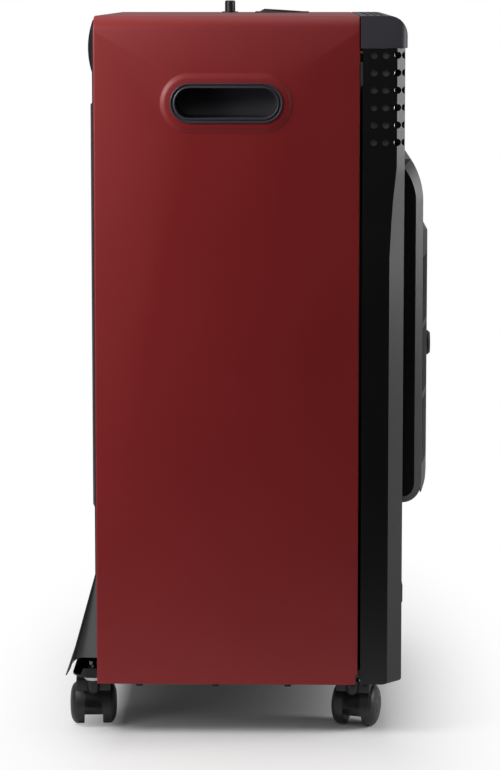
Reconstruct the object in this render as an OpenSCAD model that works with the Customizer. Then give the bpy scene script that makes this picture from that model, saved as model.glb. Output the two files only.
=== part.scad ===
// Cabinet gas heater on casters: a sheet-steel cabinet with a bay for a gas bottle,
// a three-column radiant burner behind a bowed guard, and a lift-off rear cover.
// The heater stands on the floor, its front faces -Y and its controls are at +X.

/* [Cabinet shell] */
// Width across the two side sheets
cab_w = 420; // [410:1:470]
// Depth of the side sheets from front edge to rear edge
cab_depth = 261.5; // [255:0.5:300]
// Height of the shell's bottom edge above the floor
shell_foot = 53.5; // [53:0.5:58]
// Height of the shell from its bottom edge to its top face
shell_h = 667.5; // [650:0.5:740]
// Thickness of the cabinet's sheet steel
sheet_t = 1.2; // [0.8:0.1:1.5]
// Outside radius of the bend between the top and a side
bend_r = 17; // [12:1:22]
// Width of the returns folded inwards along the sheet's edges
return_w = 12; // [11:0.5:14]

/* [Side grips] */
// Length of the hand opening
grip_l = 100.8; // [90:0.2:110]
// Height of the hand opening
grip_h = 29.5; // [26:0.5:34]
// Depth of the moulded cup behind the opening
cup_depth = 38; // [25:1:45]
// Wall of the moulded cup
cup_wall = 1.8; // [1.2:0.1:2.5]
// Width of the cup's rim around the opening
rim_w = 5.8; // [5:0.1:7]
// Thickness of the cup's rim
rim_t = 1.6; // [1:0.1:2.5]
// Width of the pressed border around the rim
halo_w = 9.5; // [7:0.5:14]
// Height of the pressed border above the side sheet
halo_h = 2.6; // [1:0.1:4]
// Distance from the shell's rear edge to the grip's centre
grip_back = 130.3; // [120:0.1:150]
// Distance from the shell's top down to the grip's centre
grip_drop = 85; // [80:0.5:110]

/* [Base tray] */
// Height of the tray floor's underside
tray_z = 60; // [60:0.5:62]
// Thickness of the tray's sheet
tray_t = 1.5; // [1.2:0.1:2]
// Height of the tray's rim above its underside
tray_rim = 8.5; // [6:0.5:12]
// How far the tray stands out behind the shell
tray_out = 25.5; // [24:0.5:26]
// Depth of the round seats pressed down for the casters
dish_deep = 4; // [3:0.5:4]
// Outside radius of a caster's seat
dish_r = 18.5; // [15:0.5:19]
// Radius of the tray's rear corners
tray_r = 16; // [8:1:20]

/* [Casters] */
// Distance from a side sheet's face to a stem
stem_inset = 30; // [28:1:36]
// Distance from the shell's rear edge back to the rear stems
stem_back = 6; // [2:0.5:6]
// Distance from the shell's front edge back to the front stems
stem_front = 4.5; // [2:0.5:20]
// Diameter of a wheel
wheel_d = 42.5; // [38:0.5:43]
// Width of one wheel
wheel_w = 14.3; // [12:0.1:16]
// Gap between the two wheels of a caster
wheel_gap = 19; // [18:0.5:22]
// Distance from the stem to the axle
trail = 17; // [16:0.5:22]
// Height of the hood's top above the floor
hood_top = 49.5; // [48:0.5:50]
// Diameter of the stem
stem_d = 8; // [6:0.5:9]
// Diameter of the axle
axle_d = 4; // [3:0.5:6]
// Width of the hood over the two wheels
hood_w = 35; // [32:0.5:38]
// Height of the hood's lower edge above the floor
hood_low = 14.5; // [12:0.5:17]

/* [Front frame] */
// Gap between the shell's front edge and the front frame
frame_gap = 2.5; // [2:0.5:8]
// Depth of the front frame
frame_depth = 41.6; // [38:0.1:50]
// Outside radius of the frame's two upright corners
frame_r = 8; // [7:0.5:11]
// Height of the frame's bottom edge
frame_foot = 54; // [53.5:0.5:58]
// Diameter of the vent holes
vent_d = 7; // [5:0.5:8]
// Pitch of the rows of vent holes
vent_pitch = 17; // [14:0.5:20]
// Pitch of the vent holes along the frame's sides
side_pitch = 11.6; // [10:0.2:12.4]
// Rows of vent holes
vent_rows = 6; // [3:1:7]
// Columns of vent holes across the front, the outer ones at its rounded corners
vent_cols = 25; // [9:2:25]

/* [Top cap] */
// Height of the cap from its bottom edge to its top face
cap_h = 31.3; // [28:0.1:36]
// Wall of the cap
cap_wall = 2.4; // [1.8:0.1:3]
// How far the cap stands forward of the frame's face
cap_over = 2.2; // [1:0.1:4]
// Depth of the cap's rounded nose
cap_nose = 18; // [12:0.5:20]

/* [Burner surround and guard] */
// Width of the surround
sur_w = 360; // [340:1:380]
// Height of the surround's bottom edge above the floor
sur_foot = 232; // [225:1:235]
// Distance from the cabinet's top down to the surround's top edge
sur_drop = 142; // [140:1:150]
// How far the surround stands out of the frame's face
sur_depth = 20; // [18:0.5:26]
// Radius of the surround's upright front edges
sur_r = 8; // [4:0.5:10]
// Width of the guard
guard_w = 300; // [290:1:316]
// Distance from the surround's top edge down to the guard's
guard_drop = 74; // [66:1:80]
// Height of the guard's lower edge above the floor
guard_foot = 237; // [236:1:240]
// Bow of the guard in front of the surround's face
guard_bow = 12; // [10:0.5:20]
// Thickness of the guard's and the surround's sheet
guard_t = 1.5; // [1:0.1:2]
// Pitch of the guard's bars
bar_pitch = 12; // [10:0.5:16]
// Width of a bar
bar_w = 5; // [3:0.5:6]
// Diameter of the round dish at the guard's centre
badge_dish_d = 39; // [34:1:44]
// Diameter of the plain round button in the dish
badge_d = 26; // [20:1:30]
// How far the button stands out of the guard
badge_out = 4.5; // [3:0.5:6]
// Radius of the curve at the surround's top edge
sur_round = 83; // [70:1:100]
// Height of the curve at the surround's top edge
sur_curve = 42; // [36:1:46]
// Width of the plain plate low on the front
trim_w = 60; // [40:1:90]
// How far the plain plate stands out of the frame's face
trim_out = 8; // [5:0.5:10]

/* [Burner] */
// Distance from a side sheet's face to the burner's frame
burner_side = 71.9; // [71.9:0.1:78]
// Thickness of a ceramic tile
tile_t = 12; // [10:0.5:12]
// Gap between the tiles
tile_gap = 2; // [1:0.5:3]
// Width of the lip that holds the tiles
tile_lip = 3; // [2:0.5:4]
// Thickness of the burner frame's sheet
burner_t = 1.5; // [1:0.1:1.5]
// Thickness of the burner frame, front to back
burner_deep = 30.5; // [30:0.5:31]
// Radius of a burner's mixing tube
mix_r = 7; // [6:0.5:7]

/* [Gas line] */
// Outside diameter of a burner pipe
pipe_d = 5; // [4:0.5:5]
// Outside diameter of the pilot pipe and the leads
lead_d = 3; // [2:0.5:3.5]
// Pitch of the pipes beside each other
pipe_pitch = 9; // [8:0.5:9]
// Outside diameter of the hose nozzle
nozzle_d = 9.5; // [8:0.5:10]
// Length of the hose nozzle's straight tail
nozzle_l = 22; // [18:1:26]

/* [Controls] */
// Distance from the right-hand side sheet to the knob's axis
ctrl_inset = 50; // [48:1:60]
// Distance from the shell's rear edge to the knob's axis
ctrl_back = 182.7; // [182:0.1:188]
// Width of the raised bezel
bezel_w = 56; // [54:1:60]
// Depth of the raised bezel, front to back
bezel_l = 54; // [50:1:56]
// Height of the bezel's rear edge above the top
bezel_high = 3.8; // [3:0.1:6]
// Height of the bezel's front edge above the top
bezel_low = 0.9; // [0.9:0.1:2]
// Diameter of the well that the knob lies in
well_d = 44; // [42:0.5:45]
// Depth of the well below the top
well_deep = 24; // [22:0.5:25]
// Diameter of the knob
knob_d = 37; // [34:0.5:38]
// Travel of the knob when it is pressed
knob_push = 5; // [3:0.5:6]
// Distance from the shell's rear edge to the igniter button
button_back = 124.5; // [118:0.1:126]
// Diameter of the igniter button
button_d = 11.6; // [9:0.1:13]
// Height of the igniter button above its collar
button_out = 12.2; // [10:0.2:16]
// Travel of the igniter button
button_push = 7; // [4:0.5:8]

/* [Rear cover] */
// How far the cover's lip stands behind the shell
rear_reach = 32; // [30:0.5:34]
// Thickness of the rear cover's sheet
cover_t = 1.2; // [0.8:0.1:1.5]
// Height at which the cover turns outwards
knee_z = 164; // [150:1:180]
// Depth of the panel pressed into the cover
bulge_deep = 15; // [14:0.5:16]
// Width of the pressed panel
bulge_w = 200; // [180:1:220]
// Width of the pressed panel's sloped sides
bulge_side = 59; // [40:1:62]
// Length of the pull at the cover's top
pull_w = 100; // [90:1:120]
// Height of the pull
pull_h = 58; // [50:1:60]
// How far the pull stands behind the shell
pull_out = 18; // [17:0.5:19]

/* [Fits] */
// Gap between pieces that are fixed to each other
seat = 0.2; // [0.1:0.05:0.4]
// Radial clearance of a turning or sliding fit
run = 0.05; // [0.03:0.01:0.08]
// Gap between pieces that move past each other
free = 0.5; // [0.4:0.1:1]

/* [Hidden] */
$fn = 48;

cut = 1;                 // overshoot of a cutting tool past the face it opens
side_x = cab_w / 2;
in_x = side_x - sheet_t;
top_z = shell_foot + shell_h;

// Front-to-back layout: the whole depth is centred on the origin
front_stack = frame_gap + frame_depth + sur_depth + guard_bow + badge_out;
total_depth = rear_reach + cab_depth + front_stack;
rear_y = total_depth / 2 - rear_reach;
front_y = rear_y - cab_depth;
frame_rear = front_y - frame_gap;
face_y = frame_rear - frame_depth;
sur_y = face_y - sur_depth;
guard_y = sur_y - guard_bow;
sur_h = top_z - sur_drop - sur_foot;
guard_h = sur_h - guard_drop - guard_foot + sur_foot;

// Side grips
grip_y = rear_y - grip_back;
grip_z = top_z - grip_drop;
rim_l = grip_l + 2 * rim_w;
rim_h = grip_h + 2 * rim_w;

// Base tray
tray_top = tray_z + tray_t;
tray_rear = rear_y + tray_out;
tray_front = face_y + sheet_t + 3;
tray_half = in_x - 0.3;
rim_end = rear_y + 17;
dimple_r = 5.5;
dimple_x = side_x - 8;
dimple_ys = [front_y + 4, front_y + 70, (front_y + rear_y) / 2 + 12, rear_y - 42];
frame_screw_y = frame_rear - 6;

// Casters and the angles to which they are swivelled at rest
stem_x = side_x - stem_inset;
stem_ry = rear_y + stem_back;
stem_fy = front_y + stem_front;
wheel_r = wheel_d / 2;
dish_z = tray_z - dish_deep;
cup_t = 5;
hood_t = 1.6;
nut_h = 6.5;
collar_r = 8;
boss_r = 6.3;
turn_fl = -15;
turn_rl = 4;
turn_fr = 172;
turn_rr = 187;

// Burner
burner_cols = 3;
burner_rows = 3;
burner_half = side_x - burner_side;
col_pitch = 2 * (burner_half - burner_t - 1) / burner_cols;
tile_w = col_pitch - tile_gap - 2 * seat;
column_h = guard_h - 60;
tile_h = (column_h - (burner_rows - 1) * tile_gap) / burner_rows;
burner_z = guard_foot + guard_h / 2;
burner_hh = (burner_rows * (tile_h + tile_gap)) / 2 + burner_t + tile_lip;
shield_y = face_y + 20.5;
shield_front = shield_y - sheet_t;
shield_top = top_z - 121;
shield_fold = 9;
burner_rear = shield_front - seat;
burner_front = burner_rear - burner_deep;
tile_front = burner_front + burner_t + seat;
plenum_front = tile_front + tile_t + seat;
plenum_rear = burner_rear - 4;
mix_low = burner_z - burner_hh - 26;
rail_z = mix_low - 21;
rail_t = 3;
jet_top = mix_low - 2;
jet_r = 4;

// Gas line: pipes come down beside the burner in one plane, leads in front of them
pipe_y = shield_front - 9;
pilot_y = shield_front - 3;
lead_y = pipe_y - 5.5;
valve_x = side_x - ctrl_inset;
ctrl_y = rear_y - ctrl_back;
button_y = rear_y - button_back;
pilot_x = col_pitch / 2;
pilot_z = burner_z - burner_hh - 22;
pipe_top = top_z - 46;
pipe_r = pipe_d / 2;
pilot_pipe_r = 2;
bend_pitch = 10;

// Controls
well_r = well_d / 2;
well_wall = 2;
well_floor = top_z - well_deep;
bracket_t = 1.5;
bracket_z = well_floor - well_wall - seat - bracket_t;
valve_top = bracket_z - seat;
valve_h = 32;
valve_out = 3 * pipe_pitch - lead_d / 2 - free;
valve_l = 36;
spindle_r = 3;
plunger_r = 4.5;
plunger_top = valve_top - 14;
knob_low = well_floor + knob_push + 1.5;
knob_skirt = 8;
knob_top = top_z - 1;
igniter_r = button_d / 2 + 1.3;
collar_t = 1;
igniter_low = top_z - 49;
button_r = button_d / 2;
button_low = top_z - 15;

// Rear cover
cover_half = side_x - 4;
cover_y = rear_y + seat;
cover_top = top_z - 7;
slope_z = 68;
lip_z = 61;
slope_y = rear_y + rear_reach - 4;
bulge_low = knee_z + 26;
bulge_high = top_z - 81;
bulge_edge = 14;
peg_r = 2.5;
peg_l = 7;
peg_x = side_x - 7;
peg_zs = [top_z - 30, knee_z + 36];
pull_z = top_z - 35;
pull_round = 86;
screw_up = 10;
pull_screw_x = pull_w / 2 - 8;

// Places that depend on several pieces
screw_r = 2;
spacer_zs = [top_z - 57];
frame_top = top_z - cap_h - 0.3;
vent_top = top_z - 38.3;
trim_z = frame_foot + 39;
rail_front = face_y + sheet_t + 2.5;
bottle_r = 150;
guide_h = 18;
guide_y = (shield_y + rear_y + bulge_deep) / 2;
nozzle_x = valve_x - 8;
nozzle_y = ctrl_y + 11;

// ---- shapes used by several pieces ----

// Upright box between two corners
module slab(a, b) {
    translate([min(a[0], b[0]), min(a[1], b[1]), min(a[2], b[2])])
        cube([abs(b[0] - a[0]), abs(b[1] - a[1]), abs(b[2] - a[2])]);
}

// Extrudes an X-Z outline from y0 back to y1
module along_y(y0, y1) {
    translate([0, y1, 0]) rotate([90, 0, 0]) linear_extrude(y1 - y0) children();
}

// Extrudes a Y-Z outline from x0 to x1
module along_x(x0, x1) {
    translate([x0, 0, 0]) rotate([90, 0, 90]) linear_extrude(x1 - x0) children();
}

// Rectangle on its base line with its two upper corners rounded
module arch2d(w, h, r) {
    translate([-w / 2, 0]) square([w, h - r]);
    translate([-w / 2 + r, 0]) square([w - 2 * r, h]);
    for (s = [-1, 1]) translate([s * (w / 2 - r), h - r]) circle(r);
}

// Slot outline with round ends, centred
module stadium(l, h) {
    square([l - h, h], center = true);
    for (s = [-1, 1]) translate([s * (l - h) / 2, 0]) circle(h / 2);
}

// Round bar along Y between y0 and y1
module bar_y(x, y0, y1, z, r) {
    translate([x, y1, z]) rotate([90, 0, 0]) cylinder(h = y1 - y0, r = r);
}

// Straight tube run between two points that differ along one axis
module run_to(p, q, r) {
    d = q - p;
    len = norm(d);
    tilt = d[0] != 0 ? [0, 90, 0] : d[1] != 0 ? [-90, 0, 0] : [0, 0, 0];
    start = d[0] + d[1] + d[2] > 0 ? p : q;
    translate(start) rotate(tilt) cylinder(h = len, r = r, $fn = 24);
}

// Pipe through a list of points, with a ball at each turn
module route(pts, r) {
    for (i = [0 : len(pts) - 2]) run_to(pts[i], pts[i + 1], r);
    for (i = [1 : len(pts) - 2]) translate(pts[i]) sphere(r = r, $fn = 24);
}

// Points of a quarter ellipse about c, from angle a0 to a1
function quarter(c, ra, rb, a0, a1, n = 6) =
    [for (i = [0 : n]) let (a = a0 + (a1 - a0) * i / n) c + [ra * cos(a), rb * sin(a)]];

// ---- cabinet ----

// Raised border around a grip: outside at grow 0, inside of the sheet at grow -sheet_t
module halo(grow) {
    translate([side_x - sheet_t, grip_y, grip_z]) rotate([90, 0, 90]) hull() {
        linear_extrude(sheet_t) stadium(rim_l + 2 * (halo_w + grow), rim_h + 2 * (halo_w + grow), $fn = 32);
        linear_extrude(sheet_t + halo_h + grow)
            stadium(rim_l + 6 + 2 * grow, rim_h + 6 + 2 * grow, $fn = 32);
    }
}

module shell_return(y0) {
    lift = tray_z + tray_rim + 2 - shell_foot;
    translate([0, 0, shell_foot + lift]) along_y(y0, y0 + sheet_t) difference() {
        arch2d(cab_w, shell_h - lift, bend_r);
        translate([0, -cut]) arch2d(cab_w - 2 * return_w, shell_h - lift - return_w + cut, bend_r / 2);
    }
}

module cabinet_shell() {
    color("firebrick") difference() {
        union() {
            translate([0, 0, shell_foot]) along_y(front_y, rear_y) difference() {
                arch2d(cab_w, shell_h, bend_r);
                translate([0, -cut]) arch2d(2 * in_x, shell_h - sheet_t + cut, bend_r - sheet_t);
            }
            shell_return(rear_y - sheet_t);
            shell_return(front_y);
            for (m = [0, 1]) mirror([m, 0, 0]) {
                slab([side_x - return_w, front_y, shell_foot], [in_x + 0.1, rear_y, shell_foot + sheet_t]);
                halo(0);
            }
        }
        for (m = [0, 1]) mirror([m, 0, 0]) {
            intersection() {
                halo(-sheet_t);
                slab([in_x - 3, grip_y - rim_l, grip_z - rim_l],
                    [side_x + halo_h, grip_y + rim_l, grip_z + rim_l]);
            }
            translate([0, grip_y, grip_z]) along_x(in_x - 2, side_x + 2 * halo_h)
                stadium(grip_l + 2 * (cup_wall + seat), grip_h + 2 * (cup_wall + seat));
            for (z = peg_zs) bar_y(peg_x, rear_y - 2 * sheet_t, rear_y + cut, z, peg_r + free);
            for (z = spacer_zs) bar_y(peg_x, front_y - cut, front_y + 2 * sheet_t, z, screw_r + seat);
            for (y = dimple_ys) translate([dimple_x, y, shell_foot - cut])
                cylinder(h = 3 * sheet_t, r = screw_r + seat);
            slab([side_x - 2 * sheet_t, front_y - cut, shell_foot - cut],
                [side_x + cut, front_y + 2.4, shell_foot + 9.5]);
        }
        translate([valve_x, ctrl_y, top_z - 3 * sheet_t])
            cylinder(h = 6 * sheet_t, r = well_r + well_wall + seat);
        translate([valve_x, button_y, top_z - 3 * sheet_t]) cylinder(h = 6 * sheet_t, r = igniter_r + seat);
    }
}

// Grip cup for the right-hand side; the left one is its mirror image
module grip_cup() {
    translate([0, grip_y, grip_z]) difference() {
        union() {
            along_x(side_x - cup_depth, side_x + halo_h + 0.1)
                stadium(grip_l + 2 * cup_wall, grip_h + 2 * cup_wall);
            along_x(side_x + halo_h + seat, side_x + halo_h + seat + rim_t) stadium(rim_l, rim_h);
            along_x(side_x + halo_h, side_x + halo_h + seat + 0.1)
                stadium(grip_l + 2 * cup_wall, grip_h + 2 * cup_wall);
        }
        along_x(side_x - cup_depth + cup_wall, side_x + halo_h + 2 * rim_t) stadium(grip_l, grip_h);
    }
}

module grip_cup_left() {
    color([0.09, 0.09, 0.11]) mirror([1, 0, 0]) grip_cup();
}

module grip_cup_right() {
    color([0.09, 0.09, 0.11]) grip_cup();
}

// ---- base ----

module at_casters() {
    for (x = [-stem_x, stem_x], y = [stem_fy, stem_ry]) translate([x, y, 0]) children();
}

module tray_outline(grow) {
    half = tray_half + grow;
    y0 = tray_front - grow;
    y1 = tray_rear + grow;
    front_r = frame_r + 2 + grow;
    rear_r = tray_r + grow;
    translate([-half + front_r, y0]) square([2 * (half - front_r), front_r + 1]);
    translate([-half, y0 + front_r]) square([2 * half, y1 - y0 - front_r - rear_r]);
    translate([-half + rear_r, y1 - rear_r - 1]) square([2 * (half - rear_r), rear_r + 1]);
    for (s = [-1, 1]) {
        translate([s * (half - front_r), y0 + front_r]) circle(front_r);
        translate([s * (half - rear_r), y1 - rear_r]) circle(rear_r);
    }
}

// Places of the screws that come up from below through the shell and the frame
module at_tray_screws() {
    for (s = [-1, 1], y = dimple_ys) translate([s * dimple_x, y, shell_foot]) children();
    for (s = [-1, 1]) translate([s * dimple_x, frame_screw_y, frame_foot]) children();
}

module base_tray() {
    color([0.13, 0.13, 0.14]) difference() {
        union() {
            translate([0, 0, tray_z]) linear_extrude(tray_t) tray_outline(0);
            difference() {
                translate([0, 0, tray_z]) linear_extrude(tray_rim) difference() {
                    tray_outline(0);
                    tray_outline(-tray_t);
                }
                along_x(-side_x, side_x) polygon([[rim_end, tray_z + tray_t / 2],
                    [tray_rear + cut, tray_z + tray_t / 2],
                    [tray_rear + cut, tray_z + 2 * tray_rim], [rim_end - 6, tray_z + 2 * tray_rim]]);
            }
            at_casters() translate([0, 0, dish_z]) cylinder(h = dish_deep + tray_t, r = dish_r);
            at_tray_screws() translate([0, 0, sheet_t + seat])
                cylinder(h = tray_top - frame_foot - sheet_t - seat, r = dimple_r);
        }
        at_casters() translate([0, 0, dish_z + tray_t])
            cylinder(h = dish_deep + tray_rim, r = dish_r - tray_t);
        at_casters() translate([0, 0, dish_z - cut])
            cylinder(h = dish_deep + tray_rim, r = stem_d / 2 + seat);
        at_tray_screws() cylinder(h = 2 * tray_rim, r = screw_r + run);
    }
}

// Two curved strips that keep the bottle's foot ring in place
module bottle_guides() {
    color("silver") for (s = [0, 180]) translate([0, guide_y, tray_top + seat / 2]) rotate([0, 0, s - 30])
        rotate_extrude(angle = 60) {
            translate([bottle_r + 2, 0]) square([sheet_t, guide_h]);
            translate([bottle_r + 2, 0]) square([14, sheet_t]);
        }
}

// Screw along +Z with a head of height head below: shank length l above z = 0
module screw(l, head) {
    cylinder(h = l, r = screw_r);
    translate([0, 0, -head]) cylinder(h = head, r = screw_r * 1.8);
}

module tray_screws() {
    color("silver") at_tray_screws() translate([0, 0, -seat / 2]) screw(tray_z - shell_foot, 3.2);
}

// ---- casters ----

module caster_stems() {
    color("silver") at_casters() {
        translate([0, 0, wheel_r + 3]) cylinder(h = tray_z + 9 - wheel_r - 3, r = stem_d / 2);
        translate([0, 0, hood_top + free])
            cylinder(h = dish_z - cup_t - seat - hood_top - free + 1, r = collar_r);
    }
}

// Pressed cups that close the swivel bearings from above
module caster_washers() {
    color("gainsboro") at_casters() translate([0, 0, dish_z - cup_t - seat / 2]) difference() {
        cylinder(h = cup_t, r1 = dish_r * 0.55, r2 = dish_r * 0.72);
        translate([0, 0, -cut]) cylinder(h = 2 * cut + seat, r = collar_r + seat);
        translate([0, 0, -cut]) cylinder(h = cup_t + 2 * cut, r = stem_d / 2 + run);
    }
}

module caster_nuts() {
    color("gainsboro") at_casters() translate([0, 0, dish_z + tray_t + seat / 2]) difference() {
        cylinder(h = nut_h, r = stem_d * 0.94, $fn = 6);
        translate([0, 0, -cut]) cylinder(h = nut_h + 2 * cut, r = stem_d / 2 + run);
    }
}

// Hood of a caster about its stem, with the axle at x = trail along Y
module hood() {
    half = wheel_gap / 2 - free;
    foot = wheel_r + 19;
    difference() {
        union() {
            intersection() {
                translate([trail, hood_w / 2, wheel_r]) rotate([90, 0, 0])
                    cylinder(h = hood_w, r = wheel_r + free + hood_t);
                slab([-wheel_d, -hood_w, hood_low], [2 * wheel_d, hood_w, 2 * wheel_d]);
            }
            slab([0, -hood_w / 2, wheel_r + 16], [trail, hood_w / 2, hood_top]);
            translate([0, 0, foot]) cylinder(h = hood_top - foot, r = boss_r);
            translate([0, 0, foot]) sphere(r = boss_r);
        }
        for (s = [-1, 1]) translate([trail, s * (half + wheel_w), wheel_r]) rotate([90, 0, 0])
            cylinder(h = 2 * wheel_w, r = wheel_r + free, center = true);
        translate([trail, hood_w, wheel_r]) rotate([90, 0, 0]) cylinder(h = 2 * hood_w, r = axle_d / 2 + run);
        translate([0, 0, wheel_r + 2]) cylinder(h = hood_top, r = stem_d / 2 + run);
    }
}

module axle() {
    half = wheel_gap / 2 + wheel_w - 3;
    translate([trail, half, wheel_r]) rotate([90, 0, 0]) cylinder(h = 2 * half, r = axle_d / 2);
}

// One wheel on the side s of the hood: a flat tread and a domed outer face
module wheel(s) {
    tread = (hood_w - wheel_gap) / 2;
    dome = wheel_w - tread;
    translate([trail, s * wheel_gap / 2, wheel_r]) rotate([-90 * s, 0, 0]) difference() {
        rotate_extrude() polygon(concat([[0, 0], [wheel_r - 1, 0], [wheel_r, 1]],
            quarter([wheel_r - 6, tread], 6, dome, 0, 90, 5), [[0, wheel_w]]));
        translate([0, 0, -cut]) cylinder(h = wheel_w - 1.5, r = axle_d / 2 + run);
    }
}

module at_caster(x, y, turn) {
    color([0.1, 0.1, 0.11]) translate([x, y, 0]) rotate([0, 0, turn]) children();
}

module caster_fl_hood() { at_caster(-stem_x, stem_fy, turn_fl) hood(); }
module caster_fl_axle() { at_caster(-stem_x, stem_fy, turn_fl) axle(); }
module caster_fl_wheel_a() { at_caster(-stem_x, stem_fy, turn_fl) wheel(-1); }
module caster_fl_wheel_b() { at_caster(-stem_x, stem_fy, turn_fl) wheel(1); }
module caster_fr_hood() { at_caster(stem_x, stem_fy, turn_fr) hood(); }
module caster_fr_axle() { at_caster(stem_x, stem_fy, turn_fr) axle(); }
module caster_fr_wheel_a() { at_caster(stem_x, stem_fy, turn_fr) wheel(-1); }
module caster_fr_wheel_b() { at_caster(stem_x, stem_fy, turn_fr) wheel(1); }
module caster_rl_hood() { at_caster(-stem_x, stem_ry, turn_rl) hood(); }
module caster_rl_axle() { at_caster(-stem_x, stem_ry, turn_rl) axle(); }
module caster_rl_wheel_a() { at_caster(-stem_x, stem_ry, turn_rl) wheel(-1); }
module caster_rl_wheel_b() { at_caster(-stem_x, stem_ry, turn_rl) wheel(1); }
module caster_rr_hood() { at_caster(stem_x, stem_ry, turn_rr) hood(); }
module caster_rr_axle() { at_caster(stem_x, stem_ry, turn_rr) axle(); }
module caster_rr_wheel_a() { at_caster(stem_x, stem_ry, turn_rr) wheel(-1); }
module caster_rr_wheel_b() { at_caster(stem_x, stem_ry, turn_rr) wheel(1); }

// ---- front frame and cap ----

// Plan outline of the frame, with its front edge at depth and round front corners
module front_plan(w, depth, r) {
    translate([0, frame_rear]) mirror([0, 1]) arch2d(w, depth, r);
}

module frame_vents() {
    for (row = [0 : vent_rows - 1]) {
        z = vent_top - row * vent_pitch;
        for (i = [0 : vent_cols - 1])
            bar_y((2 * i / (vent_cols - 1) - 1) * (side_x - frame_r), face_y - cut, face_y + 3 * sheet_t,
                z, vent_d / 2);
        for (i = [0 : 2]) translate([-side_x - cut, face_y + frame_r - 0.5 + i * side_pitch, z])
            rotate([0, 90, 0]) cylinder(h = 2 * (side_x + cut), r = vent_d / 2);
    }
}

module front_frame() {
    h = frame_top - frame_foot;
    color([0.12, 0.12, 0.13]) difference() {
        union() {
            translate([0, 0, frame_foot]) linear_extrude(h) difference() {
                front_plan(cab_w, frame_depth, frame_r);
                translate([0, cut]) front_plan(2 * in_x, frame_depth - sheet_t + cut, frame_r - sheet_t);
            }
            for (z = [frame_foot, frame_top - sheet_t]) translate([0, 0, z])
                linear_extrude(sheet_t) difference() {
                    front_plan(cab_w, frame_depth, frame_r);
                    translate([0, cut])
                        front_plan(cab_w - 2 * return_w, frame_depth - return_w + cut, frame_r / 2);
                }
            for (s = [-1, 1])
                slab([s * (side_x - return_w), frame_rear, tray_z + tray_rim + 2],
                    [s * in_x, frame_rear - sheet_t, frame_top]);
        }
        slab([-sur_w / 2 + 12, face_y - cut, sur_foot + 4],
            [sur_w / 2 - 12, face_y + 3 * sheet_t, sur_foot + sur_h - 12]);
        for (s = [-1, 1], z = spacer_zs)
            bar_y(s * peg_x, frame_rear - 2 * sheet_t, frame_rear + cut, z, screw_r + seat);
        for (s = [-1, 1]) translate([s * dimple_x, frame_screw_y, frame_foot - cut])
            cylinder(h = 3 * sheet_t, r = screw_r + seat);
        frame_vents();
    }
}

module frame_spacers() {
    color("silver") for (s = [-1, 1], z = spacer_zs) difference() {
        slab([s * (peg_x - 4), front_y - seat / 2, z - 11.5],
            [s * (peg_x + 4), frame_rear + seat / 2, z + 11.5]);
        bar_y(s * peg_x, frame_rear - cut, front_y + cut, z, screw_r + seat);
    }
}

module frame_screws() {
    color("silver") for (s = [-1, 1], z = spacer_zs) {
        bar_y(s * peg_x, frame_rear - 6, front_y + sheet_t + seat, z, screw_r);
        bar_y(s * peg_x, front_y + sheet_t + seat / 2, front_y + sheet_t + seat / 2 + 2, z, screw_r * 2);
    }
}

// Side outline of the top cap, shrunk by t on its outside
module cap_outline(t) {
    low = top_z - cap_h;
    nose = face_y - cap_over + t;
    back = nose + cap_nose;
    polygon(concat([[frame_rear + 2 - t, low], [frame_rear + 2 - t, top_z - t]],
        quarter([back, top_z - cap_nose - 2], cap_nose, cap_nose + 2 - t, 90, 180, 8),
        [[nose, low]]));
}

module top_cap() {
    plan_h = frame_depth + cap_over;
    color([0.24, 0.24, 0.26]) difference() {
        intersection() {
            along_x(-side_x, side_x) cap_outline(0);
            translate([0, 2, top_z - cap_h - cut]) linear_extrude(cap_h + 2 * cut)
                front_plan(cab_w, plan_h + 2, frame_r + 1);
        }
        intersection() {
            translate([0, 0, -cut]) along_x(-side_x + cap_wall, side_x - cap_wall) cap_outline(cap_wall);
            translate([0, 2, top_z - cap_h - 2 * cut]) linear_extrude(cap_h + 3 * cut)
                front_plan(cab_w - 2 * cap_wall, plan_h + 2 - cap_wall, frame_r + 1 - cap_wall);
        }
        for (x = [-1, 0, 1], y = [0 : 2]) slab([x * 122 - 54, frame_rear - 5 - y * 7, top_z - 2 * cap_wall],
            [x * 122 + 54, frame_rear - 9 - y * 7, top_z + cut]);
    }
}

module lower_trim() {
    z0 = trim_z;
    color([0.12, 0.12, 0.13]) along_x(-trim_w / 2, trim_w / 2)
        polygon([[face_y - seat, z0], [face_y - trim_out + 1.5, z0], [face_y - trim_out, z0 + 1.5],
            [face_y - trim_out, z0 + 20], [face_y - seat, z0 + 31]]);
}

// ---- surround and guard ----

// Side outline of the surround, shrunk by t on its outside
module sur_outline(t) {
    low = sur_foot + t;
    high = sur_foot + sur_h - t;
    nose = sur_y + t;
    turn = high - sur_curve + t;
    drop = acos(1 - 11.5 / sur_round);
    polygon(concat([[face_y + cut, high], [face_y + cut, low], [nose + 13.5, low + 0.5],
        [nose + 10.2, low + 3], [nose + 1.4, low + 15.5], [nose, low + 21.5]],
        [for (i = [0 : 5]) let (a = drop * i / 5)
            [nose + sur_round * (1 - cos(a)), turn + (sur_curve - t) * sin(a) / sin(drop)]]));
}

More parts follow.
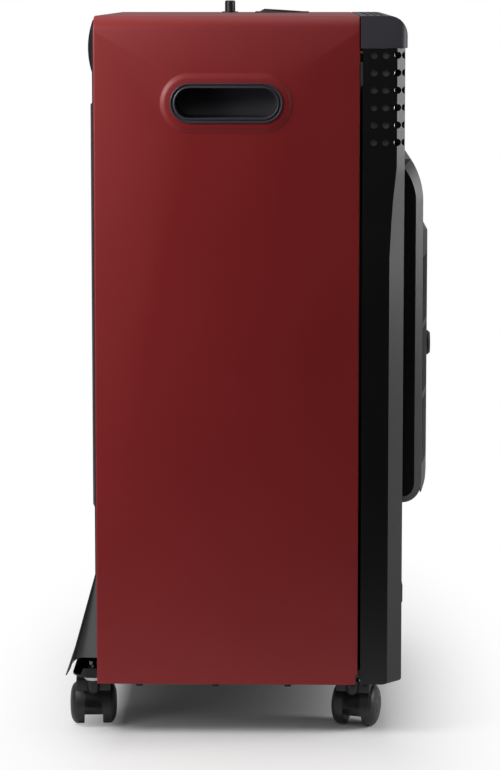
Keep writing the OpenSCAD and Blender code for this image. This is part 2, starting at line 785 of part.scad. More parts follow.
module front_surround() {
    color([0.11, 0.11, 0.12]) difference() {
        intersection() {
            along_x(-sur_w / 2, sur_w / 2) sur_outline(0);
            translate([0, 0, sur_foot]) along_y(sur_y - cut, face_y) arch2d(sur_w, sur_h, sur_r);
            translate([0, face_y - seat, 0]) mirror([0, 1, 0]) linear_extrude(top_z)
                arch2d(sur_w, sur_depth - seat, sur_r);
        }
        intersection() {
            along_x(-sur_w / 2 + guard_t, sur_w / 2 - guard_t) sur_outline(guard_t);
            translate([0, face_y + cut, 0]) mirror([0, 1, 0]) linear_extrude(top_z)
                arch2d(sur_w - 2 * guard_t, sur_depth - guard_t + cut, sur_r - guard_t);
        }
        slab([-guard_w / 2 + 8, sur_y - cut, guard_foot + 12],
            [guard_w / 2 - 8, face_y, guard_foot + guard_h - 12]);
    }
}

// Solid under the guard's skin, shrunk by t on its outside and reaching back by deep
module guard_body(t, deep) {
    r = (pow(guard_w / 2, 2) + pow(guard_bow, 2)) / (2 * guard_bow);
    low = guard_foot + t;
    high = guard_foot + guard_h - t;
    back = sur_y - seat + deep;
    intersection() {
        translate([0, guard_y + r, 0]) cylinder(h = top_z, r = r - t, $fn = 720);
        along_x(-guard_w / 2 + t + 5, guard_w / 2 - t - 5) polygon([[back, high], [back, low],
            [guard_y + t + 10, low], [guard_y + t + 4, low + 3 - t / 2], [guard_y + t, low + 11 - t / 2],
            [guard_y + t, high - 11 + t / 2], [guard_y + t + 4, high - 3 + t / 2], [guard_y + t + 10, high]]);
    }
}

module guard_grille() {
    n = floor((guard_w / 2 - 18) / bar_pitch);
    band = (guard_h - 50) / 3;
    gap = bar_pitch - bar_w;
    mid = guard_foot + guard_h / 2;
    color([0.2, 0.19, 0.19]) difference() {
        union() {
            difference() {
                guard_body(0, 0);
                guard_body(guard_t, cut);
                for (i = [-n : n], row = [-1, 0, 1])
                    slab([i * bar_pitch - gap / 2, guard_y - cut, mid + (row - 0.5) * band + 3],
                        [i * bar_pitch + gap / 2, sur_y - seat - 0.5, mid + (row + 0.5) * band - 3]);
            }
            bar_y(0, guard_y + 0.6, guard_y + 0.6 + 2 * guard_t, mid, badge_dish_d / 2 + guard_t);
        }
        bar_y(0, guard_y - cut, guard_y + 2 + guard_t - 1.5, mid, badge_dish_d / 2);
        bar_y(0, guard_y - cut, guard_y + 10, mid, 3 + seat);
    }
}

module guard_button() {
    mid = guard_foot + guard_h / 2;
    dish_y = guard_y + guard_t + 0.5;
    color([0.14, 0.14, 0.15]) {
        bar_y(0, guard_y - badge_out + 1.5, dish_y - seat / 2, mid, badge_d / 2);
        bar_y(0, guard_y - badge_out, dish_y - seat / 2, mid, badge_d / 2 - 1.5);
        bar_y(0, guard_y, dish_y + 6, mid, 3);
    }
}

// ---- burner ----

module heat_shield() {
    color([0.62, 0.62, 0.62]) {
        slab([-side_x + 6, shield_front, tray_top + seat], [side_x - 6, shield_y, shield_top]);
        slab([-side_x + 6, shield_y - sheet_t / 2, shield_top - sheet_t],
            [side_x - 6, shield_y + shield_fold, shield_top]);
        slab([-side_x + 6, shield_y - sheet_t / 2, tray_top + seat],
            [side_x - 6, shield_y + shield_fold, tray_top + seat + sheet_t]);
        for (s = [-1, 1]) difference() {
            slab([s * (side_x - 6), face_y + 7, tray_z + tray_rim + 2],
                [s * (side_x - 6 - sheet_t), frame_rear - sheet_t - free, frame_top - sheet_t - 2]);
            for (z = spacer_zs) slab([s * (side_x - 5), frame_rear - 7, z - screw_r - 1],
                [s * (side_x - 7 - sheet_t), frame_rear, z + screw_r + 1]);
        }
    }
}

module burner_frame() {
    window_x = tile_w / 2 - tile_lip;
    color([0.45, 0.45, 0.46]) translate([0, 0, burner_z]) difference() {
        slab([-burner_half, burner_front, -burner_hh], [burner_half, burner_rear, burner_hh]);
        slab([-burner_half + burner_t, burner_front + burner_t, -burner_hh + burner_t],
            [burner_half - burner_t, burner_rear + cut, burner_hh - burner_t]);
        for (i = [-1, 0, 1])
            slab([i * col_pitch - window_x, burner_front - cut, -column_h / 2 + tile_lip],
                [i * col_pitch + window_x, burner_front + 2 * burner_t, column_h / 2 - tile_lip]);
        for (i = [-1, 0, 1]) translate([i * col_pitch, pipe_y, -burner_hh - cut])
            cylinder(h = 2 * burner_t + cut, r = mix_r + seat);
    }
}

module tile_column(i) {
    color([0.86, 0.82, 0.76]) for (row = [-1, 0, 1])
        translate([i * col_pitch, tile_front, burner_z + row * (tile_h + tile_gap)])
            slab([-tile_w / 2, 0, -tile_h / 2], [tile_w / 2, tile_t, tile_h / 2]);
}

module tiles_left() { tile_column(-1); }
module tiles_centre() { tile_column(0); }
module tiles_right() { tile_column(1); }

module burner_plenums() {
    color([0.5, 0.5, 0.5]) for (i = [-1, 0, 1]) translate([i * col_pitch, 0, 0]) difference() {
        union() {
            slab([-tile_w / 2, plenum_front, burner_z - column_h / 2],
                [tile_w / 2, plenum_rear, burner_z + column_h / 2]);
            translate([0, pipe_y, mix_low]) cylinder(h = burner_z - column_h / 2 - mix_low + 6, r = mix_r);
        }
        translate([0, pipe_y, mix_low - cut]) cylinder(h = 24, r = mix_r - 1.5);
    }
}

module injector_rail() {
    color([0.5, 0.5, 0.5]) difference() {
        slab([-col_pitch - 20, rail_front, rail_z], [col_pitch + 20, shield_front - seat, rail_z + rail_t]);
        for (i = [-1, 0, 1]) translate([i * col_pitch, pipe_y, rail_z - cut])
            cylinder(h = rail_t + 2 * cut, r = jet_r + run);
        slab([pilot_x - 12, rail_front - cut, rail_z - cut],
            [pilot_x + 12, pipe_y - jet_r / 2 - 1, rail_z + rail_t + cut]);
        slab([pilot_x - 12, pilot_y - 3, rail_z - cut],
            [pilot_x + 12, shield_front, rail_z + rail_t + cut]);
    }
}

module injectors() {
    color("goldenrod") for (i = [-1, 0, 1]) translate([i * col_pitch, pipe_y, 0]) {
        translate([0, 0, rail_z - 3]) cylinder(h = jet_top - rail_z + 3, r = jet_r);
        translate([0, 0, rail_z + rail_t + seat]) cylinder(h = 6, r = jet_r + 2, $fn = 6);
    }
}

// ---- gas line ----

function pipe_x(i) = valve_x + (i - 1) * pipe_pitch;

module burner_pipes() {
    color([0.75, 0.5, 0.3]) for (i = [0 : 2]) {
        low = rail_z - (i + 1.2) * bend_pitch;
        route([[pipe_x(i), ctrl_y - valve_l / 2 - seat, pipe_top], [pipe_x(i), pipe_y, pipe_top],
            [pipe_x(i), pipe_y, low], [(1 - i) * col_pitch, pipe_y, low],
            [(1 - i) * col_pitch, pipe_y, rail_z - 3 - seat]], pipe_r);
    }
}

module pilot_pipe() {
    low = rail_z - 4.2 * bend_pitch;
    color([0.75, 0.5, 0.3]) route([[pipe_x(3), ctrl_y - valve_l / 2 - seat, pipe_top],
        [pipe_x(3), pilot_y, pipe_top], [pipe_x(3), pilot_y, low], [pilot_x, pilot_y, low],
        [pilot_x, pilot_y, pilot_z - seat]], pilot_pipe_r);
}

module pilot_burner() {
    z1 = burner_z - burner_hh - seat;
    color("goldenrod") difference() {
        union() {
            slab([pilot_x - 12, lead_y - 4, pilot_z], [pilot_x + 12, pilot_y + 2, pilot_z + 2.5]);
            slab([pilot_x - 3, pilot_y - 2, pilot_z], [pilot_x + 3, pilot_y + 2, z1]);
            translate([pilot_x, pipe_y, pilot_z]) cylinder(h = 16, r = 4);
        }
        for (s = [-1, 1]) translate([pilot_x + s * 8, lead_y, pilot_z - cut])
            cylinder(h = 2.5 + 2 * cut, r = lead_d / 2 + seat);
    }
}

module thermocouple() {
    x = pipe_x(4);
    low = rail_z - 6.2 * bend_pitch;
    color([0.7, 0.45, 0.3]) route([[valve_x + valve_out - 3, ctrl_y, pipe_top + 8],
        [x, ctrl_y, pipe_top + 8], [x, lead_y, pipe_top + 8], [x, lead_y, low],
        [pilot_x - 8, lead_y, low], [pilot_x - 8, lead_y, pilot_z + 18]], lead_d / 2);
}

module spark_electrode() {
    color([0.92, 0.9, 0.86]) translate([pilot_x + 8, lead_y, 0]) {
        translate([0, 0, pilot_z - 8]) cylinder(h = 26, r = lead_d / 2);
        translate([0, 0, pilot_z - 8]) cylinder(h = 8 - seat, r = 3);
        translate([0, 0, pilot_z + 2.5 + seat]) cylinder(h = 9, r = 3);
    }
}

module igniter_lead() {
    x = valve_x - 20;
    low = rail_z - 5.2 * bend_pitch;
    color([0.75, 0.72, 0.68]) route([[valve_x, button_y, igniter_low - seat],
        [valve_x, button_y, igniter_low - 7], [x, button_y, igniter_low - 7],
        [x, lead_y, igniter_low - 7], [x, lead_y, low], [pilot_x + 8, lead_y, low],
        [pilot_x + 8, lead_y, pilot_z - 8 - seat]], lead_d / 2);
}

module gas_valve() {
    z0 = valve_top - valve_h - 2;
    color([0.72, 0.7, 0.66]) difference() {
        union() {
            slab([valve_x - 18, ctrl_y - valve_l / 2, z0],
                [valve_x + valve_out, ctrl_y + valve_l / 2, valve_top - 2]);
            translate([valve_x, ctrl_y, valve_top - 3]) cylinder(h = 3, r = 9);
            translate([nozzle_x, nozzle_y, z0 - 2]) cylinder(h = 6, r = 8, $fn = 6);
        }
        translate([valve_x, ctrl_y, plunger_top - 26]) cylinder(h = 60, r = plunger_r + run);
        translate([nozzle_x, nozzle_y, z0 - 2 - cut]) cylinder(h = 6 + cut, r = nozzle_d / 2 - 1 + run);
        translate([valve_x + valve_out - 5, ctrl_y, pipe_top + 8]) rotate([0, 90, 0])
            cylinder(h = 6, r = lead_d / 2 + run);
    }
}

module hose_nozzle() {
    z1 = valve_top - valve_h - 2 - 2 - seat;
    color("goldenrod") translate([nozzle_x, nozzle_y, 0]) {
        translate([0, 0, z1 - 5]) cylinder(h = 5, r = nozzle_d / 2 + 2, $fn = 6);
        translate([0, 0, z1 - 5 - nozzle_l]) cylinder(h = nozzle_l + 1, r = nozzle_d / 2);
        translate([0, 0, z1 - 1]) cylinder(h = 5, r = nozzle_d / 2 - 1);
    }
}

// Channel that hangs the valve from the cabinet's top
module valve_bracket() {
    half = well_r + well_wall + 2;
    z1 = top_z - sheet_t - seat;
    color([0.6, 0.6, 0.6]) difference() {
        union() {
            slab([valve_x - half, ctrl_y - 16, bracket_z],
                [valve_x + half, ctrl_y + 16, bracket_z + bracket_t]);
            for (s = [-1, 1])
                slab([valve_x + s * half, ctrl_y - 16, bracket_z],
                    [valve_x + s * (half + bracket_t), ctrl_y + 16, z1]);
            slab([valve_x - half - 10, ctrl_y - 16, z1 - bracket_t], [valve_x - half, ctrl_y + 16, z1]);
        }
        translate([valve_x, ctrl_y, bracket_z - cut]) cylinder(h = 3 * bracket_t, r = plunger_r + free);
    }
}

// ---- controls ----

module control_bezel() {
    y0 = ctrl_y - bezel_l / 2;
    y1 = ctrl_y + bezel_l / 2;
    z = top_z + seat / 2;
    color([0.1, 0.1, 0.11]) difference() {
        union() {
            slab([valve_x - bezel_w / 2 - 3, y0 - 3, z], [valve_x + bezel_w / 2 + 3, y1 + 3, z + 0.9]);
            along_x(valve_x - bezel_w / 2, valve_x + bezel_w / 2) polygon([[y0, z], [y1, z],
                [y1 - 7, top_z + bezel_high], [y0, top_z + bezel_low]]);
            translate([valve_x, ctrl_y, well_floor - well_wall])
                cylinder(h = well_deep + well_wall + 0.9, r = well_r + well_wall);
        }
        translate([valve_x, ctrl_y, well_floor]) cylinder(h = well_deep + bezel_high + cut, r = well_r);
        translate([valve_x, ctrl_y, well_floor - well_wall - cut]) cylinder(h = 6, r = spindle_r + free);
    }
}

module control_knob() {
    grip_w = 11;
    color([0.16, 0.16, 0.17]) translate([valve_x, ctrl_y, 0]) difference() {
        union() {
            translate([0, 0, knob_low]) cylinder(h = knob_skirt, r = knob_d / 2);
            intersection() {
                translate([-grip_w / 2, -knob_d / 2, knob_low]) cube([grip_w, knob_d, knob_top - knob_low]);
                translate([0, 0, knob_low]) cylinder(h = knob_top - knob_low, r = knob_d / 2 - 2);
            }
        }
        translate([0, 0, knob_low - cut]) cylinder(h = 9 + cut, r = spindle_r + run);
    }
}

module knob_spindle() {
    color("silver") translate([valve_x, ctrl_y, plunger_top + seat])
        cylinder(h = knob_low + 8.8 - plunger_top - seat, r = spindle_r);
}

module valve_plunger() {
    color("goldenrod") translate([valve_x, ctrl_y, plunger_top - 14]) cylinder(h = 14, r = plunger_r);
}

module igniter_body() {
    color([0.1, 0.1, 0.11]) translate([valve_x, button_y, 0]) difference() {
        union() {
            translate([0, 0, igniter_low]) cylinder(h = top_z + collar_t - igniter_low, r = igniter_r);
            translate([0, 0, top_z + seat / 2]) cylinder(h = collar_t - seat / 2, r = igniter_r + 2);
            translate([0, 0, top_z - sheet_t - seat / 2 - 4]) cylinder(h = 4, r = igniter_r + 3, $fn = 6);
        }
        translate([0, 0, button_low - button_push - 2]) cylinder(h = 60, r = button_r + run);
    }
}

module igniter_button() {
    h = top_z + collar_t + button_out - button_low;
    color([0.08, 0.08, 0.09]) translate([valve_x, button_y, button_low]) {
        cylinder(h = h - 0.8, r = button_r);
        cylinder(h = h, r = button_r - 0.8);
    }
}

// ---- rear cover ----

// Side outline of the cover's sheet, bent out at the knee and curled at the lip
module cover_outline() {
    y0 = cover_y;
    t = cover_t;
    polygon([[y0, cover_top], [y0, knee_z], [slope_y - t, slope_z], [rear_y + rear_reach - t, lip_z],
        [rear_y + rear_reach, lip_z], [slope_y, slope_z + 1], [y0 + t, knee_z + 1], [y0 + t, cover_top]]);
}

// Pressed panel standing out by deep, with sloped edges
module bulge(grow, deep) {
    hull() {
        slab([-bulge_w / 2 - grow, cover_y, bulge_low - grow],
            [bulge_w / 2 + grow, cover_y + 0.1, bulge_high + grow]);
        slab([-bulge_w / 2 + bulge_side - grow, cover_y, bulge_low + bulge_edge - grow],
            [bulge_w / 2 - bulge_side + grow, cover_y + deep, bulge_high - bulge_edge + grow]);
    }
}

module rear_cover() {
    color([0.12, 0.12, 0.13]) difference() {
        union() {
            along_x(-cover_half, cover_half) cover_outline();
            bulge(cover_t, bulge_deep + cover_t);
        }
        translate([0, -cut / 2, 0]) bulge(0, bulge_deep + cut / 2);
        for (i = [-2 : 2], z = [bulge_low + 40, bulge_high - 80])
            slab([i * 16 - 3, cover_y, z], [i * 16 + 3, cover_y + bulge_deep + 3 * cover_t, z + 40]);
        for (s = [-1, 1])
            bar_y(s * pull_screw_x, cover_y - cut, cover_y + 3 * cover_t, pull_z + screw_up, screw_r + seat);
    }
}

// Studs on the cover's inside that push into holes in the shell's rear returns
module cover_pegs() {
    color("silver") for (s = [-1, 1], z = peg_zs) {
        bar_y(s * peg_x, cover_y - peg_l + 1, cover_y - seat / 2, z, peg_r);
        bar_y(s * peg_x, cover_y - peg_l, cover_y - seat / 2, z, peg_r - 1);
    }
}

// Moulded pull with a finger recess that is open downwards
module rear_pull() {
    y0 = cover_y + cover_t + seat;
    y1 = rear_y + pull_out;
    color([0.1, 0.1, 0.11]) difference() {
        along_x(-pull_w / 2, pull_w / 2) intersection() {
            translate([y0, pull_z - pull_h / 2]) square([y1 - y0 + cut, pull_h]);
            translate([y1 - pull_round, pull_z]) circle(pull_round, $fn = 96);
        }
        slab([-pull_w / 2 + 14, y0 - cut, pull_z - pull_h / 2 - cut],
            [pull_w / 2 - 14, y1 - 6.5, pull_z + pull_h / 2 - 5]);
        for (s = [-1, 1]) bar_y(s * pull_screw_x, y0 - cut, y0 + 10, pull_z + screw_up, screw_r + run);
    }
}

module pull_screws() {
    y0 = cover_y - seat / 2;
    color("silver") for (s = [-1, 1]) {
        bar_y(s * pull_screw_x, y0 - 2, y0, pull_z + screw_up, screw_r * 2);
        bar_y(s * pull_screw_x, y0 - 1, y0 + 10, pull_z + screw_up, screw_r);
    }
}

cabinet_shell();
base_tray();
front_frame();
top_cap();
front_surround();
guard_grille();
guard_button();
lower_trim();
grip_cup_left();
grip_cup_right();
control_bezel();
gas_valve();
valve_bracket();
hose_nozzle();
igniter_body();
igniter_lead();
heat_shield();
burner_frame();
burner_plenums();
tiles_left();
tiles_centre();
tiles_right();
injector_rail();
injectors();
burner_pipes();
pilot_pipe();
pilot_burner();
thermocouple();
spark_electrode();
bottle_guides();
frame_spacers();
frame_screws();
tray_screws();
caster_stems();
caster_nuts();
caster_washers();
rear_cover();
cover_pegs();
rear_pull();
pull_screws();
igniter_button();
valve_plunger();
control_knob();
knob_spindle();
caster_fl_hood();
caster_fl_axle();
caster_fl_wheel_a();
caster_fl_wheel_b();
caster_fr_hood();
caster_fr_axle();
caster_fr_wheel_a();
caster_fr_wheel_b();
caster_rl_hood();
caster_rl_axle();
caster_rl_wheel_a();
caster_rl_wheel_b();
caster_rr_hood();
caster_rr_axle();
caster_rr_wheel_a();
caster_rr_wheel_b();
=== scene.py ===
import math
import bmesh
import bpy
from mathutils import Matrix, Vector


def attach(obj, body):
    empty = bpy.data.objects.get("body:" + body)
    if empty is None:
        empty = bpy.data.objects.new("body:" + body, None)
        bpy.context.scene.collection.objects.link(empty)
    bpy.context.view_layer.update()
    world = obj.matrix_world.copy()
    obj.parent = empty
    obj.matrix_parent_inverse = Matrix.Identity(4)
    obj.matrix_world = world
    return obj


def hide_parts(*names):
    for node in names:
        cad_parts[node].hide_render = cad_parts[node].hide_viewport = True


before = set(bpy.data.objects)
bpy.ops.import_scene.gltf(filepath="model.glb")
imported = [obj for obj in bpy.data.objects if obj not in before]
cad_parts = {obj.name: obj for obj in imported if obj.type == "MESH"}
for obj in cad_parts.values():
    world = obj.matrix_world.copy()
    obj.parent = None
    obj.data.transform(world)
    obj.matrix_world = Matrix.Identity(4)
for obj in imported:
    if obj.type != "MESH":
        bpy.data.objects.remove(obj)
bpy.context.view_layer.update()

# ---- Camera ----
# A long lens, square to the heater's left-hand side and level with its top, turned
# a little downwards.
scene = bpy.context.scene
scene.view_settings.view_transform = "Standard"

lens = bpy.data.cameras.new("side_camera")
lens.lens = 118.11
lens.shift_y = -0.16
lens.clip_end = 60.0
camera = bpy.data.objects.new("side_camera", lens)
camera.location = (-2.6831, -0.0448, 0.7482)
turn, dip = math.radians(1.07), math.radians(6.19)
camera_aim = Vector((math.cos(turn) * math.cos(dip), math.sin(turn) * math.cos(dip),
                     -math.sin(dip)))
camera.rotation_euler = camera_aim.to_track_quat("-Z", "Y").to_euler()
scene.collection.objects.link(camera)
scene.camera = camera

# ---- Floor and studio light ----
# A pale studio: a matt white floor, a broad soft box overhead, two small ones behind to the
# left, one in front of the heater and a weak one high on the camera's side.


def linear(code):
    """Turns an sRGB hex colour into linear RGBA."""
    parts = [int(code[i:i + 2], 16) / 255.0 for i in (1, 3, 5)]
    return tuple(v / 12.92 if v <= 0.04045 else ((v + 0.055) / 1.055) ** 2.4
                 for v in parts) + (1.0,)


def add(tree, kind, settings=None, inputs=None):
    """Adds a node, sets it and fills its inputs with values or links."""
    made = tree.nodes.new("ShaderNode" + kind)
    for key, value in (settings or {}).items():
        setattr(made, key, value)
    for key, value in (inputs or {}).items():
        if isinstance(value, bpy.types.NodeSocket):
            tree.links.new(value, made.inputs[key])
        else:
            made.inputs[key].default_value = value
    return made


world = bpy.data.worlds.new("studio")
scene.world = world
world.use_nodes = True
sky = world.node_tree
sky.nodes.clear()
ray = add(sky, "LightPath")
direction = add(sky, "TexCoord")
along = add(sky, "SeparateXYZ", inputs={0: direction.outputs["Generated"]})
# The room is dim on the camera's side, brighter behind the heater, and white where it is seen
glow = add(sky, "MapRange", inputs={"Value": along.outputs["X"], "From Min": 0.0,
                                    "From Max": 0.5, "To Min": 0.09, "To Max": 0.42})
seen = add(sky, "Mix", {"data_type": "FLOAT"},
           {0: ray.outputs["Is Camera Ray"], 2: glow.outputs[0], 3: 1.0})
room = add(sky, "Background", inputs={"Color": (1.0, 1.0, 1.0, 1.0),
                                      "Strength": seen.outputs[0]})
add(sky, "OutputWorld", inputs={"Surface": room.outputs[0]})


def soft_box(name, place, aim, width, height, power):
    """Adds a rectangular lamp that faces a point."""
    data = bpy.data.lights.new(name, "AREA")
    data.shape = "RECTANGLE"
    data.size, data.size_y, data.energy = width, height, power
    lamp = bpy.data.objects.new(name, data)
    lamp.location = place
    lamp.rotation_euler = (Vector(aim) - Vector(place)).to_track_quat("-Z", "Y").to_euler()
    lamp.visible_camera = False
    scene.collection.objects.link(lamp)


soft_box("overhead_box", (0.1, 0.0, 2.6), (0.0, 0.0, 0.0), 2.6, 2.6, 17.0)
soft_box("rear_box", (-0.55, 0.7, 0.95), (-0.2, 0.1, 0.5), 0.4, 0.4, 6.5)
soft_box("low_rear_box", (-0.75, 0.8, 0.55), (-0.2, 0.1, 0.4), 0.4, 0.6, 1.4)
soft_box("front_box", (-0.15, -1.6, 0.85), (-0.2, -0.1, 0.5), 0.6, 1.1, 16.0)
soft_box("side_box", (-2.6, 0.6, 1.9), (-0.2, 0.0, 0.4), 1.2, 0.8, 4.0)

floor_mesh = bmesh.new()
bmesh.ops.create_grid(floor_mesh, x_segments=1, y_segments=1, size=14.0)
floor_data = bpy.data.meshes.new("studio_floor")
floor_mesh.to_mesh(floor_data)
floor_mesh.free()
floor = bpy.data.objects.new("studio_floor", floor_data)
scene.collection.objects.link(floor)
# Matt white paint, which takes a soft shadow and gives no gloss
floor_paint = bpy.data.materials.new("matt_white_floor_paint")
floor_paint.use_nodes = True
paper = floor_paint.node_tree
paper.nodes.clear()
spot = add(paper, "TexCoord").outputs["Object"]
look = add(paper, "LightPath")
# Towards the camera the floor turns black to all but the camera, so the heater mirrors only
# a strip of it
spot_x = add(paper, "SeparateXYZ", inputs={0: spot}).outputs["X"]
strip = add(paper, "MapRange", {"interpolation_type": "SMOOTHSTEP"},
            {"Value": spot_x, "From Min": -0.75, "From Max": -0.22, "To Min": 0.0})
shown = add(paper, "Math", {"operation": "MAXIMUM"},
            {0: strip.outputs[0], 1: look.outputs["Is Camera Ray"]})
tint = add(paper, "Mix", {"data_type": "RGBA"},
           {0: shown.outputs[0], 6: linear("#000000"), 7: linear("#f4f4f4")})
paint = add(paper, "BsdfDiffuse", inputs={"Color": tint.outputs[2]})
# Away from the heater the floor runs out into the white background: slowly beyond it, faster
# towards the camera and fastest past its two ends, until all is white at full_reach
beyond, towards, endwise = 1.8, 2.5, 7.1
towards_start, end_start, full_reach = 0.58, 0.93, 1.3
ahead = add(paper, "VectorMath", {"operation": "MULTIPLY_ADD"},
            {0: spot, 1: (beyond, endwise, 0.0), 2: (0.0, -end_start, 0.0)})
behind = add(paper, "VectorMath", {"operation": "MULTIPLY_ADD"},
             {0: spot, 1: (-towards, -endwise, 0.0), 2: (-towards_start, -end_start, 0.0)})
past = add(paper, "VectorMath", {"operation": "MAXIMUM"},
           {0: ahead.outputs[0], 1: behind.outputs[0]})
past = add(paper, "VectorMath", {"operation": "MAXIMUM"}, {0: past.outputs[0], 1: (0.0, 0.0, 0.0)})
reach = add(paper, "VectorMath", {"operation": "LENGTH"}, {0: past.outputs[0]})
near = add(paper, "MapRange", inputs={"Value": reach.outputs["Value"], "From Max": full_reach,
                                      "To Min": 1.0, "To Max": 0.0})
square = add(paper, "Math", {"operation": "MULTIPLY"}, {0: near.outputs[0], 1: near.outputs[0]})
fade = add(paper, "Math", {"operation": "SUBTRACT"}, {0: 1.0, 1: square.outputs[0]})
run_out = add(paper, "Math", {"operation": "MULTIPLY"},
              {0: fade.outputs[0], 1: look.outputs["Is Camera Ray"]})
white = add(paper, "Emission", inputs={"Color": (1.0, 1.0, 1.0, 1.0), "Strength": 1.0})
sweep = add(paper, "MixShader", inputs={0: run_out.outputs[0], 1: paint.outputs[0],
                                        2: white.outputs[0]})
add(paper, "OutputMaterial", inputs={"Surface": sweep.outputs[0]})
floor_data.materials.append(floor_paint)

# ---- Cabinet shell ----
# Sides and top folded from one sheet of 1.2 mm steel, with a raised border pressed round
# each grip and narrow returns along the edges, powder-coated dark red.


def enamel(name, colour, roughness, peel):
    """Powder coat on sheet steel: a smooth skin with a fine orange peel."""
    made = bpy.data.materials.new(name)
    made.use_nodes = True
    tree = made.node_tree
    shader = tree.nodes["Principled BSDF"]
    place = add(tree, "TexCoord").outputs["Object"]
    # slow drift of the coat's depth, about 90 mm across
    drift = add(tree, "TexNoise", inputs={"Vector": place, "Scale": 11.0, "Detail": 2.0})
    deeper = tuple(c * 0.93 for c in colour[:3]) + (1.0,)
    lighter = tuple(min(1.0, c * 1.07) for c in colour[:3]) + (1.0,)
    shade = add(tree, "Mix", {"data_type": "RGBA"},
                {0: drift.outputs["Fac"], 6: deeper, 7: lighter})
    tree.links.new(shade.outputs[2], shader.inputs["Base Color"])
    # orange peel: 1.6 mm cells, drawn a little coarser than the real ones so that they show
    cells = add(tree, "TexNoise", inputs={"Vector": place, "Scale": 620.0, "Detail": 1.0})
    rough = add(tree, "MapRange", inputs={"Value": drift.outputs["Fac"],
                                          "To Min": roughness - 0.03,
                                          "To Max": roughness + 0.03})
    tree.links.new(rough.outputs[0], shader.inputs["Roughness"])
    bump = add(tree, "Bump", inputs={"Strength": peel, "Distance": 0.0002,
                                     "Height": cells.outputs["Fac"]})
    tree.links.new(bump.outputs[0], shader.inputs["Normal"])
    return made


# Satin powder coat, which spreads each soft box into a broad, faint sheen
red_enamel = enamel("powder_coat_dark_red", linear("#88191b"), 0.48, 0.25)

front_y, rear_y, side_x = -106.45, 155.05, 210.0
shell_foot, top_z = 53.5, 721.0
bend_r, roll_r, return_w, return_foot = 17.0, 1.6, 10.4, 70.5
notch_y, notch_z = front_y + 2.4, 63.0
grip_y, grip_z, grip_l, grip_h = 24.75, 636.0, 100.8, 29.5
border_w = 11.6  # the line that the border's growth counts from, over the opening's size
control_x, knob_y, knob_hole_r = 160.0, -27.65, 24.3
button_y, button_hole_r = 30.55, 7.3


def block(bm, low, high):
    """Adds a box between two corners and returns its vertices."""
    made = bmesh.ops.create_cube(bm, size=1.0)["verts"]
    low, high = Vector(low), Vector(high)
    bmesh.ops.scale(bm, vec=high - low, verts=made)
    bmesh.ops.translate(bm, vec=(low + high) / 2, verts=made)
    return made


def round_off(bm, edges, width, steps=3):
    """Rounds edges."""
    bmesh.ops.bevel(bm, geom=edges, offset=width, offset_type="OFFSET", segments=steps,
                    profile=0.5, affect="EDGES", clamp_overlap=True, material=-1)


def cut_at(bm, point, normal):
    """Cuts every face along a plane."""
    bmesh.ops.bisect_plane(bm, geom=bm.verts[:] + bm.edges[:] + bm.faces[:], plane_co=point,
                           plane_no=normal, dist=0.001)


def open_up(bm, low, high):
    """Removes the faces whose middle lies between two corners."""
    gone = [f for f in bm.faces
            if all(low[i] < f.calc_center_median()[i] < high[i] for i in range(3))]
    bmesh.ops.delete(bm, geom=gone, context="FACES")


def lift_out(bm, faces):
    """Removes flat faces and returns the edges that were round them."""
    edges = dict.fromkeys(e for f in faces for e in f.edges)
    outline = [e for e in edges if sum(f in faces for f in e.link_faces) == 1]
    bmesh.ops.delete(bm, geom=faces, context="FACES_ONLY")
    return outline


def turn_outward(bm, way):
    """Turns the faces of an open skin, which looks outwards where it lies furthest along way."""
    bmesh.ops.recalc_face_normals(bm, faces=bm.faces)
    outermost = max(bm.faces, key=lambda f: f.calc_center_median().dot(way))
    if outermost.normal.dot(way) < 0:
        bmesh.ops.reverse_faces(bm, faces=bm.faces)


def slot_rings(bm, rings, length, height):
    """Joins slot outlines, given as (growth, rise), into one skin and returns them."""
    made, steps = [], 64
    turns = [2 * math.pi * (i + 0.5) / steps for i in range(steps)]
    for grow, rise in rings:
        reach, radius = (length - height) / 2, height / 2 + grow
        made.append([bm.verts.new((math.copysign(reach, math.cos(a)) + radius * math.cos(a),
                                   radius * math.sin(a), rise)) for a in turns])
    for inner, outer in zip(made, made[1:]):
        for i in range(steps):
            bm.faces.new((inner[i - 1], inner[i], outer[i], outer[i - 1]))
    return made


def loop_edges(bm, verts):
    """Edges of a closed ring of vertices."""
    return [bm.edges.get(pair) or bm.edges.new(pair)
            for pair in zip(verts, verts[1:] + verts[:1])]


def to_side(bm, verts, side, y, z):
    """Turns a slot's plane upright onto the left (-1) or right (1) side of the cabinet."""
    turned = Matrix(((0, 0, side), (1, 0, 0), (0, 1, 0)))
    bmesh.ops.transform(bm, matrix=turned.to_4x4(), verts=verts)
    bmesh.ops.translate(bm, vec=(side * side_x, y, z), verts=verts)


def ring_at(bm, x, y, z, radius):
    """Adds a level circle and returns its edges."""
    made = bmesh.ops.create_circle(bm, cap_ends=False, segments=48, radius=radius)["verts"]
    bmesh.ops.translate(bm, vec=(x, y, z), verts=made)
    return [e for e in bm.edges if e.verts[0] in made and e.verts[1] in made]


def place_piece(bm, name, finish, body, nodes=(), angle=32.0):
    """Turns a mesh in millimetres into a named piece of the heater."""
    bmesh.ops.scale(bm, vec=(0.001, 0.001, 0.001), verts=bm.verts)
    data = bpy.data.meshes.new(name)
    bm.to_mesh(data)
    rims = [edge.index for edge in bm.edges if edge.is_boundary]
    bm.free()
    data.materials.append(finish)
    data.shade_smooth()
    data.set_sharp_from_angle(angle=math.radians(angle))
    # sharp rims keep a flat sheet evenly shaded once it has its thickness
    for rim in rims:
        data.edges[rim].use_edge_sharp = True
    made = bpy.data.objects.new(name, data)
    scene.collection.objects.link(made)
    if nodes:
        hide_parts(*nodes)
    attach(made, body)
    return made


